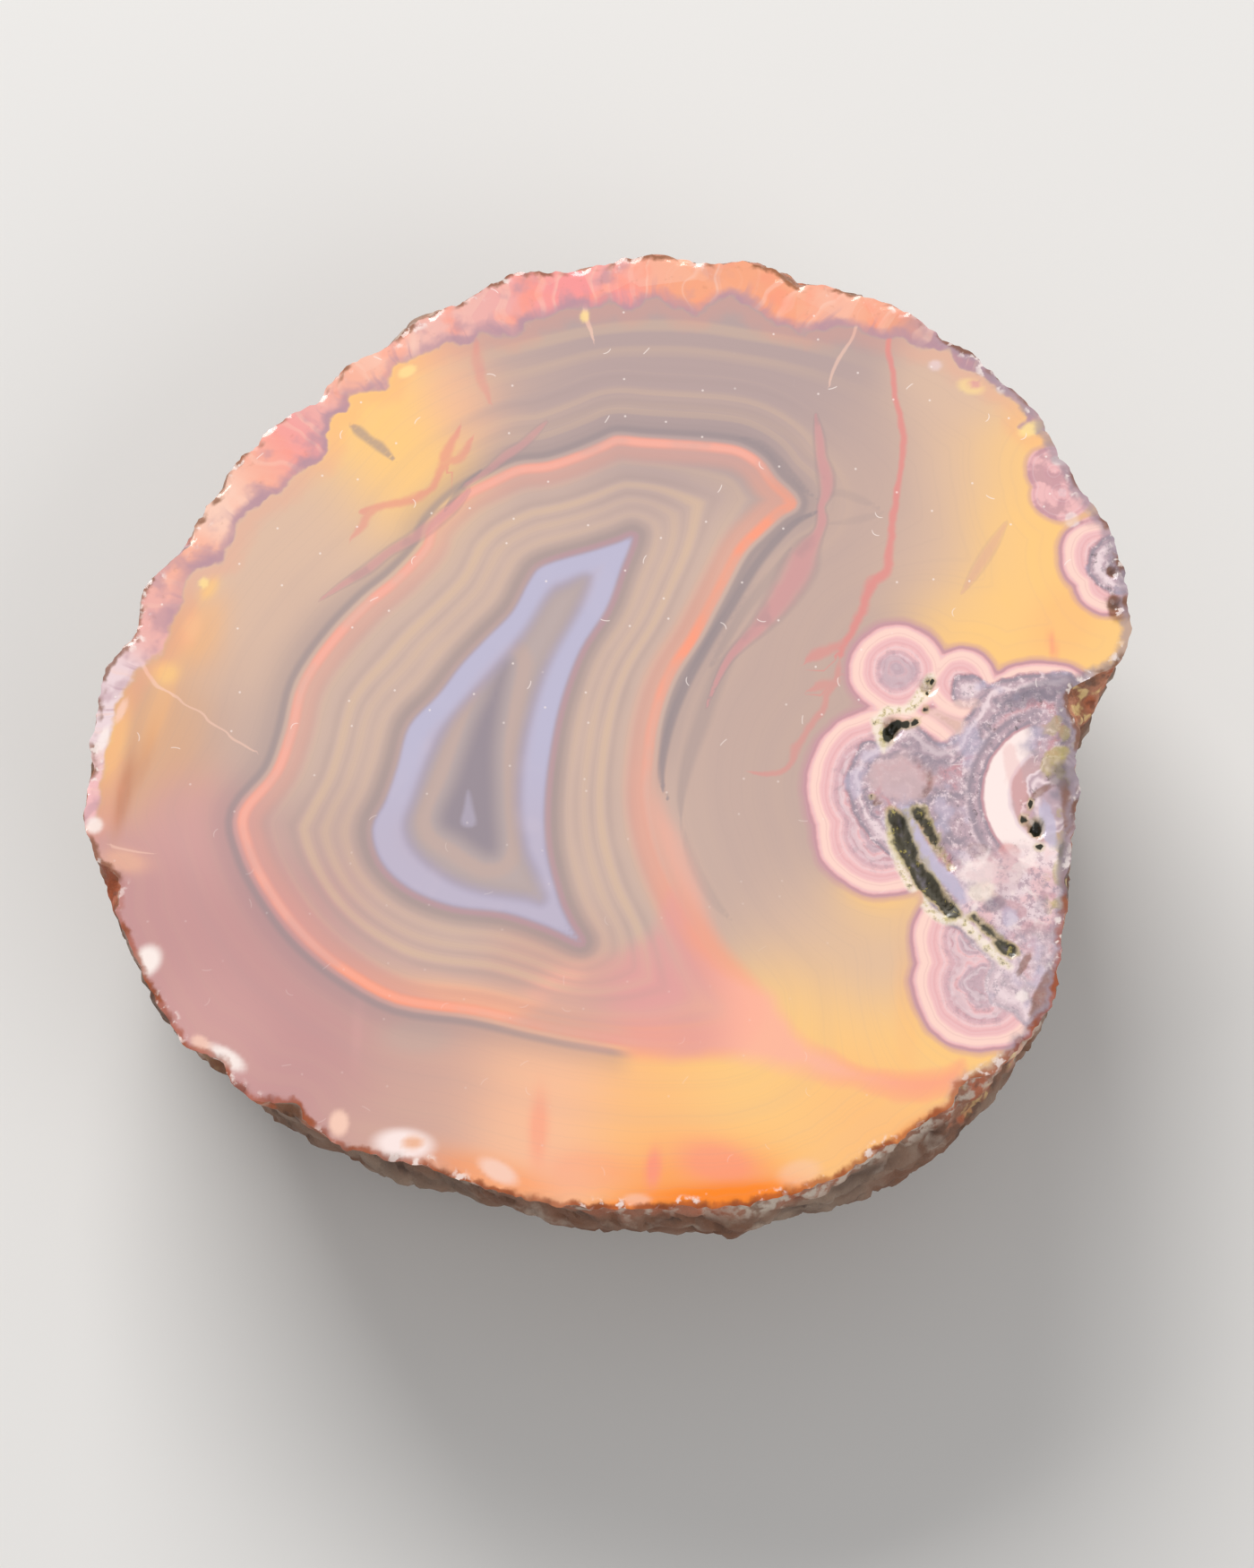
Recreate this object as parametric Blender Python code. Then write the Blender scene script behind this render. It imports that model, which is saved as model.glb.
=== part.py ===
"""Agate slice: a thick piece of a banded agate nodule, polished flat on top, in its rough rind.

The stone is one solid. Its polished face is up, its flank is the nodule's own lumpy rind, and
the underside is a smaller flat where the nodule was sawn off. All lengths are in metres, and
the drawing of the face is in millimetres about a zero near the middle of the face.
"""

import math

import bmesh
import bpy
import numpy as np
from mathutils import Vector, noise

MM = 0.001

# Driving dimensions
WIDTH = 70 * MM
HEIGHT = 22 * MM
SHOULDER_DEPTH = 4.5 * MM
BASE_INSET = 0.27  # how far the flank draws in towards the base, as a share of the ring
RING_POINTS = 192
RING_DEPTHS = [
    depth * MM
    for depth in (0, 0.45, 1.1, 2.0, 3.2, 4.6, 6.2, 8.0, 10.0, 12.0, 14.0, 16.0, 18.0, 19.8, 21.2, 22.0)
]
SAWN_AT = 0.97  # share of the full rounding at which the saw cut the underside off

# Rind relief: (size of a lump, height of a lump, where in the noise it is read)
RIND_LUMPS = (
    (15.0 * MM, 1.9 * MM, 3.0),
    (6.5 * MM, 1.1 * MM, 11.0),
    (3.0 * MM, 0.5 * MM, 27.0),
)
RIND_PIT_SPACING = 5.5 * MM
RIND_PIT_DEPTH = 0.9 * MM
RIND_PIT_REACH = 0.45  # radius of a pit, as a share of the spacing
RELIEF_START = 0.3 * MM
RELIEF_FULL = 3.5 * MM

# Edge of the polished face, clockwise from its upper left, in mm
FACE_EDGE = (
    (-6.6, 33.6), (-9.0, 32.3), (-10.0, 31.4), (-12.9, 30.3), (-14.8, 28.6), (-15.5, 27.8),
    (-17.3, 27.1), (-19.2, 25.4), (-20.1, 23.6), (-21.7, 22.9), (-23.2, 22.1), (-24.0, 20.7),
    (-25.9, 18.9), (-26.8, 16.9), (-28.0, 15.0), (-29.3, 12.7), (-30.9, 11.0), (-31.8, 9.3),
    (-31.9, 6.7), (-32.9, 5.8), (-33.9, 4.1), (-34.2, 1.6), (-34.6, -0.3), (-34.7, -3.2),
    (-34.8, -5.1), (-35.1, -6.6), (-34.3, -8.0), (-33.7, -10.0), (-32.8, -12.3), (-31.9, -14.7),
    (-30.7, -17.2), (-29.5, -19.3), (-28.0, -21.7), (-26.8, -22.9), (-25.2, -24.3), (-23.6, -25.6),
    (-21.7, -26.9), (-19.8, -27.8), (-17.9, -28.7), (-14.9, -29.8), (-11.9, -30.4), (-8.4, -31.6),
    (-5.5, -32.4), (-2.5, -33.0), (1.4, -33.2), (4.5, -32.9), (8.0, -33.0), (10.5, -32.5),
    (13.2, -31.6), (15.5, -30.5), (17.2, -29.4), (19.5, -27.9), (22.0, -26.4), (24.0, -24.9),
    (26.2, -23.0), (27.6, -21.3), (28.7, -19.6), (29.3, -18.2), (29.5, -15.1), (29.9, -13.7),
    (30.3, -12.2), (30.3, -9.9), (30.6, -8.0), (31.0, -5.7), (31.2, -4.0), (31.0, -2.6),
    (31.4, -0.3), (31.7, 0.8), (32.4, 1.8), (33.6, 3.8), (34.6, 5.5), (35.0, 6.9),
    (34.8, 9.2), (34.9, 10.7), (34.5, 12.0), (34.0, 13.8), (33.0, 16.1), (32.0, 17.0),
    (31.6, 18.2), (30.4, 20.0), (30.2, 21.0), (29.3, 22.8), (28.4, 24.3), (27.3, 24.8),
    (26.0, 26.3), (25.2, 27.4), (23.0, 28.4), (21.5, 29.8), (21.0, 30.5), (19.6, 31.2),
    (17.6, 31.9), (16.3, 32.0), (14.9, 32.8), (13.5, 32.8), (12.0, 33.5), (11.0, 34.1),
    (8.9, 34.7), (7.9, 34.4), (6.2, 34.2), (5.2, 34.6), (4.3, 35.2), (3.3, 34.9),
    (1.5, 34.9), (0.0, 34.3), (-2.7, 33.8), (-4.3, 33.5), (-5.5, 33.8),
)

# How far the rind swells past the face's edge below it, as (direction in degrees, mm)
SHOULDER_SWELL = (
    (0, -0.9), (20, -0.9), (45, 0.1), (90, 0.9), (135, 0.6), (180, 0.0), (215, -1.2), (250, -1.3),
    (262, -0.7), (272, 0.0), (284, 1.1), (296, 0.1), (312, -0.5), (328, -0.1), (345, 0.2), (360, -0.9),
)

# Flake scars on the edge, as (x, y, radius of the scar at the face, depth), in mm
FLAKE_SCARS = (
    (32.6, 1.9, 2.1, 1.2),
    (-26.3, -24.2, 1.5, 1.1),
    (-21.4, -27.4, 1.6, 1.0),
    (-33.9, -11.3, 1.6, 1.1),
    (-19.0, -28.7, 0.9, 0.6),
    (-35.2, -2.7, 1.0, 0.8),
    (24.4, -26.4, 2.2, 1.5),
    (31.0, -11.0, 1.1, 0.8),
    (-29.3, 13.5, 0.9, 0.5),
    (-33.2, 6.6, 1.1, 0.6),
    (27.2, -23.0, 1.1, 0.9),
    (13.4, 33.7, 1.3, 0.6),
)

# Open pits between the lobes at the right of the face, as (x, y, radius, depth), in mm
LOBE_PITS = (
    (18.7, -0.1, 0.55, 0.9),
    (21.2, 2.9, 0.5, 0.6),
    (28.1, -7.1, 0.5, 0.8),
    (33.9, 8.8, 0.5, 0.5),
    (33.8, 11.2, 0.4, 0.4),
)

# Open seams of dark moss there, as (width, depth, route), in mm
MOSS_SEAMS = (
    (0.9, 0.7, ((19.0, -6.3), (19.4, -8.0), (19.95, -9.5), (20.6, -10.9), (21.6, -12.0), (22.3, -12.9))),
    (0.6, 0.5, ((20.3, -6.1), (20.9, -7.4), (21.8, -8.7), (22.5, -9.8))),
    (0.5, 0.4, ((24.0, -13.4), (25.1, -14.4), (26.4, -15.9))),
)


def clear_scene():
    for thing in list(bpy.data.objects):
        bpy.data.objects.remove(thing)


def finish(name, colour, roughness):
    """A plain material of one colour."""
    material = bpy.data.materials.new(name)
    material.use_nodes = True
    shader = material.node_tree.nodes["Principled BSDF"]
    shader.inputs["Base Color"].default_value = (*colour, 1.0)
    shader.inputs["Roughness"].default_value = roughness
    shader.inputs["Metallic"].default_value = 0.0
    return material


def along(points, count):
    """Points at equal steps along the smooth closed curve through the given ones."""
    knots = np.array(points)
    before, after, beyond = (np.roll(knots, turn, axis=0) for turn in (1, -1, -2))
    curve = []
    for t in np.linspace(0, 1, 8, endpoint=False):
        curve.append(
            0.5 * (2 * knots + (after - before) * t + (2 * before - 5 * knots + 4 * after - beyond) * t**2
                   + (3 * knots - before - 3 * after + beyond) * t**3)
        )
    fine = np.stack(curve, axis=1).reshape(-1, 2)
    fine = np.vstack([fine, fine[:1]])
    travelled = np.concatenate([[0], np.cumsum(np.linalg.norm(np.diff(fine, axis=0), axis=1))])
    stops = np.linspace(0, travelled[-1], count, endpoint=False)
    return np.stack([np.interp(stops, travelled, fine[:, axis]) for axis in (0, 1)], axis=1)


def evened(loop, reach):
    """The closed loop with each point averaged with its neighbours on both sides."""
    return sum(np.roll(loop, step, axis=0) for step in range(-reach, reach + 1)) / (2 * reach + 1)


def swell(direction):
    angles, amounts = zip(*SHOULDER_SWELL)
    return np.interp(math.degrees(direction) % 360, angles, amounts) * MM


def relief(place, depth):
    """Height of the rind's lumps and pits at a point of the flank, none at the polished edge."""
    share = min(max((depth - RELIEF_START) / (RELIEF_FULL - RELIEF_START), 0.0), 1.0)
    lumps = sum(
        height * noise.noise(place / size + Vector((seed, seed, seed))) for size, height, seed in RIND_LUMPS
    )
    nearest = noise.voronoi(place / RIND_PIT_SPACING)[0][0]
    pit = RIND_PIT_DEPTH * max(0.0, 1 - nearest / RIND_PIT_REACH)
    return share * (lumps - pit)


def flank_profile(depth):
    """(share of the swell, scale of the ring) at a depth below the face."""
    if depth <= SHOULDER_DEPTH:
        return math.sin(math.pi / 2 * depth / SHOULDER_DEPTH), 1.0
    under = (depth - SHOULDER_DEPTH) / (HEIGHT - SHOULDER_DEPTH)
    return 1.0, 1.0 - BASE_INSET * (1 - math.sqrt(1 - (SAWN_AT * under) ** 2))


def ring_places(edge, rounded, depth):
    """Where the ring at this depth runs: the face's edge above, a rounder lumpy loop below."""
    share, scale = flank_profile(depth)
    fade = min(depth / (2 * SHOULDER_DEPTH), 1.0)
    places = []
    for sharp, soft in zip(edge, rounded):
        x, y = (sharp * (1 - fade) + soft * fade) * MM
        outward = Vector((x, y, 0)).normalized()
        place = Vector((x * scale, y * scale, HEIGHT - depth))
        push = share * swell(math.atan2(y, x)) + relief(place, depth)
        places.append(place + outward * push)
    return places


def next_ring(bm, ring, places):
    """The ring extruded once, with its new points moved to the given places."""
    edges = [bm.edges.get((a, b)) for a, b in zip(ring, ring[1:] + ring[:1])]
    made = set(bmesh.ops.extrude_edge_only(bm, edges=edges)["geom"])
    lower = [next(e.other_vert(v) for e in v.link_edges if e.other_vert(v) in made) for v in ring]
    for vert, place in zip(lower, places):
        vert.co = place
    return lower


def make_stone():
    """The whole piece: polished face, ring after ring of rind and sawn base, centred on its box."""
    edge = along(FACE_EDGE[::-1], RING_POINTS)
    rounded = evened(evened(edge, 5), 4)
    bm = bmesh.new()
    ring = bmesh.ops.create_circle(bm, segments=RING_POINTS, radius=WIDTH / 2)["verts"]
    for vert, place in zip(ring, ring_places(edge, rounded, 0)):
        vert.co = place
    top = bm.faces.new(ring)
    for depth in RING_DEPTHS[1:]:
        ring = next_ring(bm, ring, ring_places(edge, rounded, depth))
    bottom = bm.faces.new(ring)
    bmesh.ops.recalc_face_normals(bm, faces=bm.faces)
    for face in bm.faces:
        face.material_index = 0 if face in (top, bottom) else 1
        face.smooth = face not in (top, bottom)
    mesh = bpy.data.meshes.new("agate_slice")
    bm.to_mesh(mesh)
    bm.free()
    stone = bpy.data.objects.new("agate_slice", mesh)
    bpy.context.scene.collection.objects.link(stone)
    low, high = (Vector(pick(axis) for axis in zip(*(v.co for v in mesh.vertices))) for pick in (min, max))
    stone.location = (-(low.x + high.x) / 2, -(low.y + high.y) / 2, 0)
    mesh.materials.append(finish("polished_agate", (0.55, 0.40, 0.33), 0.10))
    mesh.materials.append(finish("agate_rind", (0.20, 0.12, 0.08), 0.85))
    return stone


def as_cutter(mesh, stone, cutters):
    """An object that only cuts: it is drawn as wire and left out of a render."""
    cutter = bpy.data.objects.new(mesh.name, mesh)
    cutter.location = stone.location
    cutter.hide_render = True
    cutter.display_type = "WIRE"
    cutters.objects.link(cutter)


def scoop(name, x, y, radius, depth, subdivisions):
    """A ball that meets the face in a circle and reaches this far below it."""
    ball = (radius**2 + depth**2) / (2 * depth)
    bm = bmesh.new()
    bmesh.ops.create_icosphere(bm, subdivisions=subdivisions, radius=ball * MM)
    bmesh.ops.translate(bm, verts=bm.verts, vec=(x * MM, y * MM, HEIGHT + (ball - depth) * MM))
    mesh = bpy.data.meshes.new(name)
    bm.to_mesh(mesh)
    bm.free()
    return mesh


def seam(name, width, depth, route):
    """A tube along the route, its middle at the face, as wide and deep as the open seam."""
    curve = bpy.data.curves.new(name, "CURVE")
    curve.dimensions = "3D"
    curve.bevel_depth = width / 2 * MM
    curve.bevel_resolution = 1
    curve.use_fill_caps = True
    spline = curve.splines.new("POLY")
    spline.points.add(len(route) - 1)
    for point, (x, y) in zip(spline.points, route):
        point.co = (x * MM, y * MM, HEIGHT, 1)
    guide = bpy.data.objects.new(name + "_guide", curve)
    mesh = bpy.data.meshes.new_from_object(guide)
    mesh.name = name
    bpy.data.objects.remove(guide)
    for vert in mesh.vertices:
        vert.co.z = HEIGHT + (vert.co.z - HEIGHT) * depth / (width / 2)
    return mesh


def cut_face(stone):
    """Flake scars, pits and moss seams, taken out of the stone."""
    cutters = bpy.data.collections.new("cutters")
    bpy.context.scene.collection.children.link(cutters)
    for number, scar in enumerate(FLAKE_SCARS):
        as_cutter(scoop(f"flake_scar_{number}", *scar, subdivisions=3), stone, cutters)
    for number, pit in enumerate(LOBE_PITS):
        as_cutter(scoop(f"lobe_pit_{number}", *pit, subdivisions=2), stone, cutters)
    for number, (width, depth, route) in enumerate(MOSS_SEAMS):
        as_cutter(seam(f"moss_seam_{number}", width, depth, route), stone, cutters)
    cut = stone.modifiers.new("face damage", "BOOLEAN")
    cut.operation = "DIFFERENCE"
    cut.operand_type = "COLLECTION"
    cut.collection = cutters
    cut.solver = "EXACT"


def main():
    clear_scene()
    stone = make_stone()
    cut_face(stone)


main()
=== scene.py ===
"""A polished agate slice: its banded face, rough rind and sawn underside, on a pale studio floor."""

import math

import bmesh
import bpy
import numpy as np
from mathutils import Matrix, Vector, noise
from mathutils.bvhtree import BVHTree
from mathutils.kdtree import KDTree


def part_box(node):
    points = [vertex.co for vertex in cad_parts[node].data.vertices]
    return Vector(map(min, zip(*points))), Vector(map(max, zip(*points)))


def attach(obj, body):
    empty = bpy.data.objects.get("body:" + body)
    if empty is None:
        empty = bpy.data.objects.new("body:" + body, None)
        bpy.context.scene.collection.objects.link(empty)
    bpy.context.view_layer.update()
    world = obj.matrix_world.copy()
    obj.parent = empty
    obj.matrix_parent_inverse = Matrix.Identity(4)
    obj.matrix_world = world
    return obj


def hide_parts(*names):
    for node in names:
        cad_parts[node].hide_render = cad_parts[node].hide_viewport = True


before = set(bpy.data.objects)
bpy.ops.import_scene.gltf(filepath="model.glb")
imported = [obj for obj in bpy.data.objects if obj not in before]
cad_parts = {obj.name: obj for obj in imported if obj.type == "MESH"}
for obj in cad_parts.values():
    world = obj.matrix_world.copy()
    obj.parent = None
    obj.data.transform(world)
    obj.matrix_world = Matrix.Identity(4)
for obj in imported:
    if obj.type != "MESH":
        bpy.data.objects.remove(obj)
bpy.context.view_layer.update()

bl_info = {
    "name": "Agate Slice",
    "version": (1, 0, 0),
    "blender": (4, 5, 0),
    "location": "View3D > Sidebar > Agate",
    "description": "Dresses a plain stone solid as a polished banded agate in its rind",
    "category": "Object",
}

NODE = "agate_slice"
LOW, HIGH = (Vector(corner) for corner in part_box(NODE))
FACE_HEIGHT = HIGH.z
MM = 0.001

# The face is drawn in millimetres about this point of the frame, near the middle of the face
DRAWING_ZERO = (0.13 * MM, -1.23 * MM)


# The drawing of the face

PALE_TRIANGLE = ((-9.4, -4.5), (-9.6, -5.6), (-9.8, -6.8), (-8.95, -6.85), (-9.15, -5.6))
DARK_TRIANGLE = (
    (-7.0, 4.6), (-8.0, 2.2), (-8.9, 0.2), (-10.1, -3.7), (-11.1, -6.5), (-9.9, -7.6), (-7.7, -8.8),
    (-7.75, -5.6), (-7.85, -1.7), (-7.5, 1.6),
)
LAVENDER_INNER = (
    (-1.6, 10.7), (-2.9, 10.2), (-4.1, 9.4), (-5.8, 6.5), (-7.95, 3.6), (-10.4, 0.7), (-11.8, -2.2),
    (-12.8, -5.1), (-13.3, -7.1), (-12.3, -9.0), (-9.4, -11.0), (-5.5, -11.8), (-4.5, -12.0),
    (-5.1, -10.3), (-5.8, -8.5), (-6.25, -5.1), (-5.9, -0.8), (-4.55, 4.1), (-2.6, 7.95),
)
LAVENDER_OUTER = (
    (1.6, 13.8), (0.4, 13.45), (-1.2, 12.9), (-4.55, 11.8), (-5.6, 10.6), (-6.7, 8.4), (-8.4, 6.5),
    (-10.1, 4.55), (-11.6, 2.4), (-13.5, 0.2), (-14.25, -2.7), (-15.0, -5.1), (-15.85, -7.1),
    (-15.2, -9.5), (-13.3, -11.4), (-10.4, -12.65), (-7.0, -13.1), (-4.1, -14.1), (-1.9, -15.1),
    (-2.6, -13.6), (-3.3, -11.9), (-4.1, -8.5), (-4.2, -5.1), (-3.8, -1.3), (-3.1, 2.1), (-1.9, 5.5),
    (-0.2, 8.4), (0.8, 11.3),
)
RED_RING = (
    (-12.0, 14.6), (-10.0, 16.75), (-8.1, 17.8), (-6.2, 18.75), (-4.3, 19.0), (-2.35, 19.7),
    (-0.4, 20.6), (0.5, 20.95), (2.4, 20.75), (5.3, 20.55), (7.2, 20.4), (8.75, 20.1), (10.1, 19.2),
    (11.0, 17.9), (12.35, 16.3), (11.4, 15.5), (10.1, 14.25), (8.7, 12.7), (7.1, 9.4), (5.6, 6.5),
    (3.9, 3.6), (2.95, 0.7), (2.55, -2.2), (2.45, -5.1), (3.1, -8.5), (4.5, -12.0), (6.5, -15.6),
    (9.0, -19.0), (8.0, -21.6), (3.0, -22.0), (-1.2, -21.4), (-5.0, -20.65), (-8.9, -19.7),
    (-13.8, -18.95), (-17.6, -16.8), (-20.3, -14.35), (-22.5, -11.4), (-23.95, -8.5), (-24.3, -6.0),
    (-22.25, -3.2), (-21.3, -0.3), (-20.55, 3.1), (-18.6, 6.25), (-16.4, 8.9), (-14.25, 10.9),
    (-12.5, 13.0),
)
CRUST_EDGE = (
    (-34.6, -7.0), (-33.9, -5.6), (-33.6, -3.2), (-33.4, -0.8), (-32.9, 1.4), (-32.1, 3.2),
    (-31.0, 4.6), (-30.1, 5.5), (-29.5, 6.3), (-29.6, 7.3), (-29.0, 8.5), (-28.8, 9.7), (-28.6, 10.6),
    (-27.8, 11.4), (-27.0, 11.8), (-26.1, 12.3), (-25.7, 13.1), (-25.2, 14.5), (-24.7, 15.5),
    (-23.6, 16.4), (-22.9, 16.95), (-22.3, 17.05), (-22.0, 17.7), (-21.2, 18.3), (-20.5, 19.05),
    (-19.7, 19.35), (-19.3, 20.1), (-19.5, 21.2), (-19.1, 21.7), (-19.2, 22.5), (-18.1, 23.1),
    (-17.7, 24.3), (-16.1, 24.7), (-15.2, 24.8), (-15.0, 25.8), (-14.7, 26.5), (-14.0, 26.9),
    (-13.1, 27.3), (-11.9, 27.8), (-11.2, 28.4), (-10.4, 28.15), (-9.4, 28.3), (-8.8, 29.25),
    (-8.1, 29.0), (-6.9, 28.8), (-6.0, 29.2), (-5.4, 29.95), (-4.3, 30.3), (-3.1, 30.9), (-2.1, 31.0),
    (-0.8, 30.9), (0.0, 31.4), (1.3, 30.7), (2.2, 31.3), (3.2, 31.7), (4.2, 31.1), (5.3, 30.5),
    (6.3, 30.7), (7.8, 31.75), (8.9, 31.4), (10.1, 30.7), (11.0, 29.75), (12.0, 29.4), (13.5, 29.0),
    (14.9, 29.3), (16.6, 29.5), (17.5, 29.0), (18.7, 28.6), (20.0, 28.8), (20.5, 28.0), (22.5, 27.7),
    (23.3, 27.6), (24.0, 26.3), (25.5, 25.6), (27.0, 24.3), (28.3, 23.0), (28.9, 21.4),
)
# Outside the stone, so that the clear agate is closed off below the crust
BEYOND_THE_RIM = ((40.0, 20.0), (40.0, -40.0), (-40.0, -40.0), (-40.0, -8.0))

SALMON_FLOW = (
    (4.3, -11.6), (5.7, -15.0), (7.0, -16.3), (9.0, -17.3), (10.5, -18.5), (11.2, -20.0), (13.0, -21.7),
    (15.0, -22.8), (17.5, -23.7), (20.0, -24.0), (21.8, -23.7), (22.9, -23.1), (22.5, -24.6),
    (20.5, -25.4), (18.0, -25.2), (15.0, -24.6), (12.0, -23.8), (8.0, -23.1), (5.0, -23.0),
    (2.0, -22.7), (-1.0, -22.3), (-4.0, -21.9), (-7.0, -20.6), (-5.0, -19.2), (-3.0, -17.6),
    (0.5, -15.5), (2.5, -14.0), (3.4, -12.0),
)

# Lobes that grew into the clear agate, as (x, y, radius)
LOBES = (
    (19.2, 4.1, 3.5), (23.4, 3.1, 2.7), (18.6, -4.2, 5.95), (18.1, -7.2, 4.8), (24.3, -17.9, 4.7),
    (23.8, -15.0, 4.2), (28.7, -0.6, 5.5), (25.5, -6.0, 5.0), (24.5, -10.5, 4.2), (28.0, -12.5, 5.0),
    (30.1, 18.6, 1.9), (30.6, 17.0, 2.1), (33.2, 12.3, 3.1), (33.6, 10.6, 2.6),
)

# How far beyond the lobes, in mm, their material reaches
LOBE_MARGIN = 1.5

# Veins, streaks and cracks, as (strength, route of (x, y, half width))
RED_VEINS = (
    (1.0, ((19.1, 28.6, 0.12), (19.0, 27.3, 0.16), (19.3, 25.8, 0.14), (19.4, 24.2, 0.14),
           (19.75, 22.5, 0.16), (19.95, 20.8, 0.2), (19.75, 19.3, 0.16), (19.45, 17.5, 0.16),
           (19.1, 15.2, 0.2), (18.9, 13.5, 0.22), (18.75, 12.0, 0.28), (18.4, 11.0, 0.29),
           (17.6, 10.4, 0.32), (17.1, 9.3, 0.32), (16.9, 8.3, 0.29), (16.4, 7.5, 0.27),
           (16.1, 6.6, 0.24), (15.6, 5.9, 0.21), (15.4, 5.1, 0.16))),
    (0.6, ((15.3, 4.4, 0.16), (15.0, 3.2, 0.2), (14.4, 2.3, 0.2), (14.1, 1.2, 0.2), (13.4, 0.3, 0.22),
           (12.9, -0.6, 0.2), (12.3, -1.5, 0.22), (12.0, -2.6, 0.16), (11.4, -3.1, 0.14),
           (10.4, -3.3, 0.14), (9.3, -3.2, 0.05))),
    (0.7, ((15.7, 5.9, 0.24), (14.6, 5.6, 0.3), (13.7, 5.2, 0.34), (13.0, 4.7, 0.08))),
    (0.6, ((15.1, 3.3, 0.3), (14.2, 3.0, 0.3), (13.2, 2.6, 0.06))),
    (0.75, ((-10.3, 21.9, 0.08), (-10.7, 20.8, 0.26), (-11.3, 19.6, 0.3), (-11.7, 18.3, 0.2),
            (-12.2, 17.3, 0.2), (-13.2, 16.6, 0.3), (-14.4, 16.3, 0.28), (-15.8, 16.0, 0.22),
            (-16.9, 15.6, 0.12))),
    (0.65, ((-15.9, 15.9, 0.2), (-16.4, 15.3, 0.26), (-16.8, 14.6, 0.24), (-17.5, 13.6, 0.08))),
    (0.65, ((-11.3, 19.3, 0.25), (-10.4, 19.4, 0.3), (-9.9, 20.2, 0.25), (-9.4, 21.1, 0.08))),
    (0.45, ((-9.3, 28.4, 0.12), (-9.1, 26.8, 0.3), (-8.8, 25.4, 0.3), (-8.3, 23.7, 0.08))),
)
MAUVE_VEINS = (
    (0.85, ((14.0, 22.8, 0.1), (14.2, 21.0, 0.3), (14.3, 19.7, 0.32), (14.6, 18.3, 0.46),
            (14.6, 17.0, 0.36), (14.25, 16.0, 0.22), (14.3, 15.0, 0.3), (14.0, 14.0, 0.32),
            (13.3, 12.9, 0.68), (12.7, 11.5, 0.92), (11.9, 10.0, 0.82), (11.0, 8.6, 0.7),
            (10.0, 7.3, 0.52), (9.0, 6.2, 0.36), (7.9, 4.9, 0.24), (7.0, 3.1, 0.14), (6.3, 1.2, 0.04))),
    (0.6, ((-4.3, 22.4, 0.06), (-5.2, 21.4, 0.22), (-6.1, 20.5, 0.25), (-7.2, 19.7, 0.3),
           (-8.4, 18.6, 0.2), (-9.9, 17.5, 0.15))),
    (0.7, ((-9.6, 17.2, 0.1), (-10.6, 16.0, 0.3), (-11.9, 14.9, 0.4), (-13.3, 13.7, 0.36),
           (-14.9, 12.7, 0.28), (-16.4, 11.4, 0.3), (-18.0, 10.3, 0.2), (-19.6, 9.1, 0.05))),
    (0.35, ((26.8, 14.9, 0.08), (25.8, 13.2, 0.3), (24.7, 11.4, 0.3), (23.6, 9.6, 0.06))),
)
GREY_STREAKS = (
    (0.62, ((-17.8, 22.1, 0.08), (-17.2, 21.6, 0.3), (-16.4, 20.9, 0.25), (-15.7, 20.4, 0.3),
            (-14.6, 19.3, 0.06))),
    (0.6, ((-8.7, 18.8, 0.05), (-9.6, 17.9, 0.15), (-10.6, 16.7, 0.16), (-11.3, 15.6, 0.05))),
    (0.45, ((13.4, 17.0, 0.1), (12.6, 17.9, 0.2), (11.4, 19.4, 0.25), (10.2, 20.6, 0.2),
            (8.6, 21.2, 0.08))),
    (0.76, ((14.0, 15.6, 0.08), (12.6, 14.9, 0.18), (11.0, 13.3, 0.26), (9.6, 11.4, 0.28),
            (8.1, 8.7, 0.26), (6.6, 6.1, 0.26), (5.1, 3.2, 0.26), (4.1, 0.6, 0.24), (3.5, -2.0, 0.22),
            (3.4, -3.8, 0.14), (3.8, -5.2, 0.04))),
    (0.36, ((8.9, 6.4, 0.15), (7.5, 4.3, 0.45), (6.6, 2.0, 0.5), (6.0, 0.2, 0.5), (5.2, -2.2, 0.4),
            (4.7, -4.6, 0.25), (4.6, -6.6, 0.05))),
    (0.2, ((4.6, -6.4, 0.05), (5.4, -9.5, 0.3), (6.7, -12.0, 0.3), (8.0, -13.6, 0.05))),
    (0.4, ((11.6, 19.4, 0.04), (12.3, 18.2, 0.14), (13.1, 17.2, 0.14), (14.1, 16.5, 0.04))),
    (0.18, ((14.4, 16.6, 0.05), (15.5, 17.0, 0.22), (16.9, 16.5, 0.25), (18.2, 15.9, 0.05))),
    (0.15, ((14.7, 14.7, 0.05), (16.1, 14.9, 0.2), (17.4, 15.2, 0.22), (18.6, 15.6, 0.05))),
    (0.3, ((12.2, 13.0, 0.05), (10.6, 10.6, 0.3), (9.0, 8.4, 0.3), (7.6, 6.0, 0.2), (6.6, 4.2, 0.05))),
)
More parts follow.
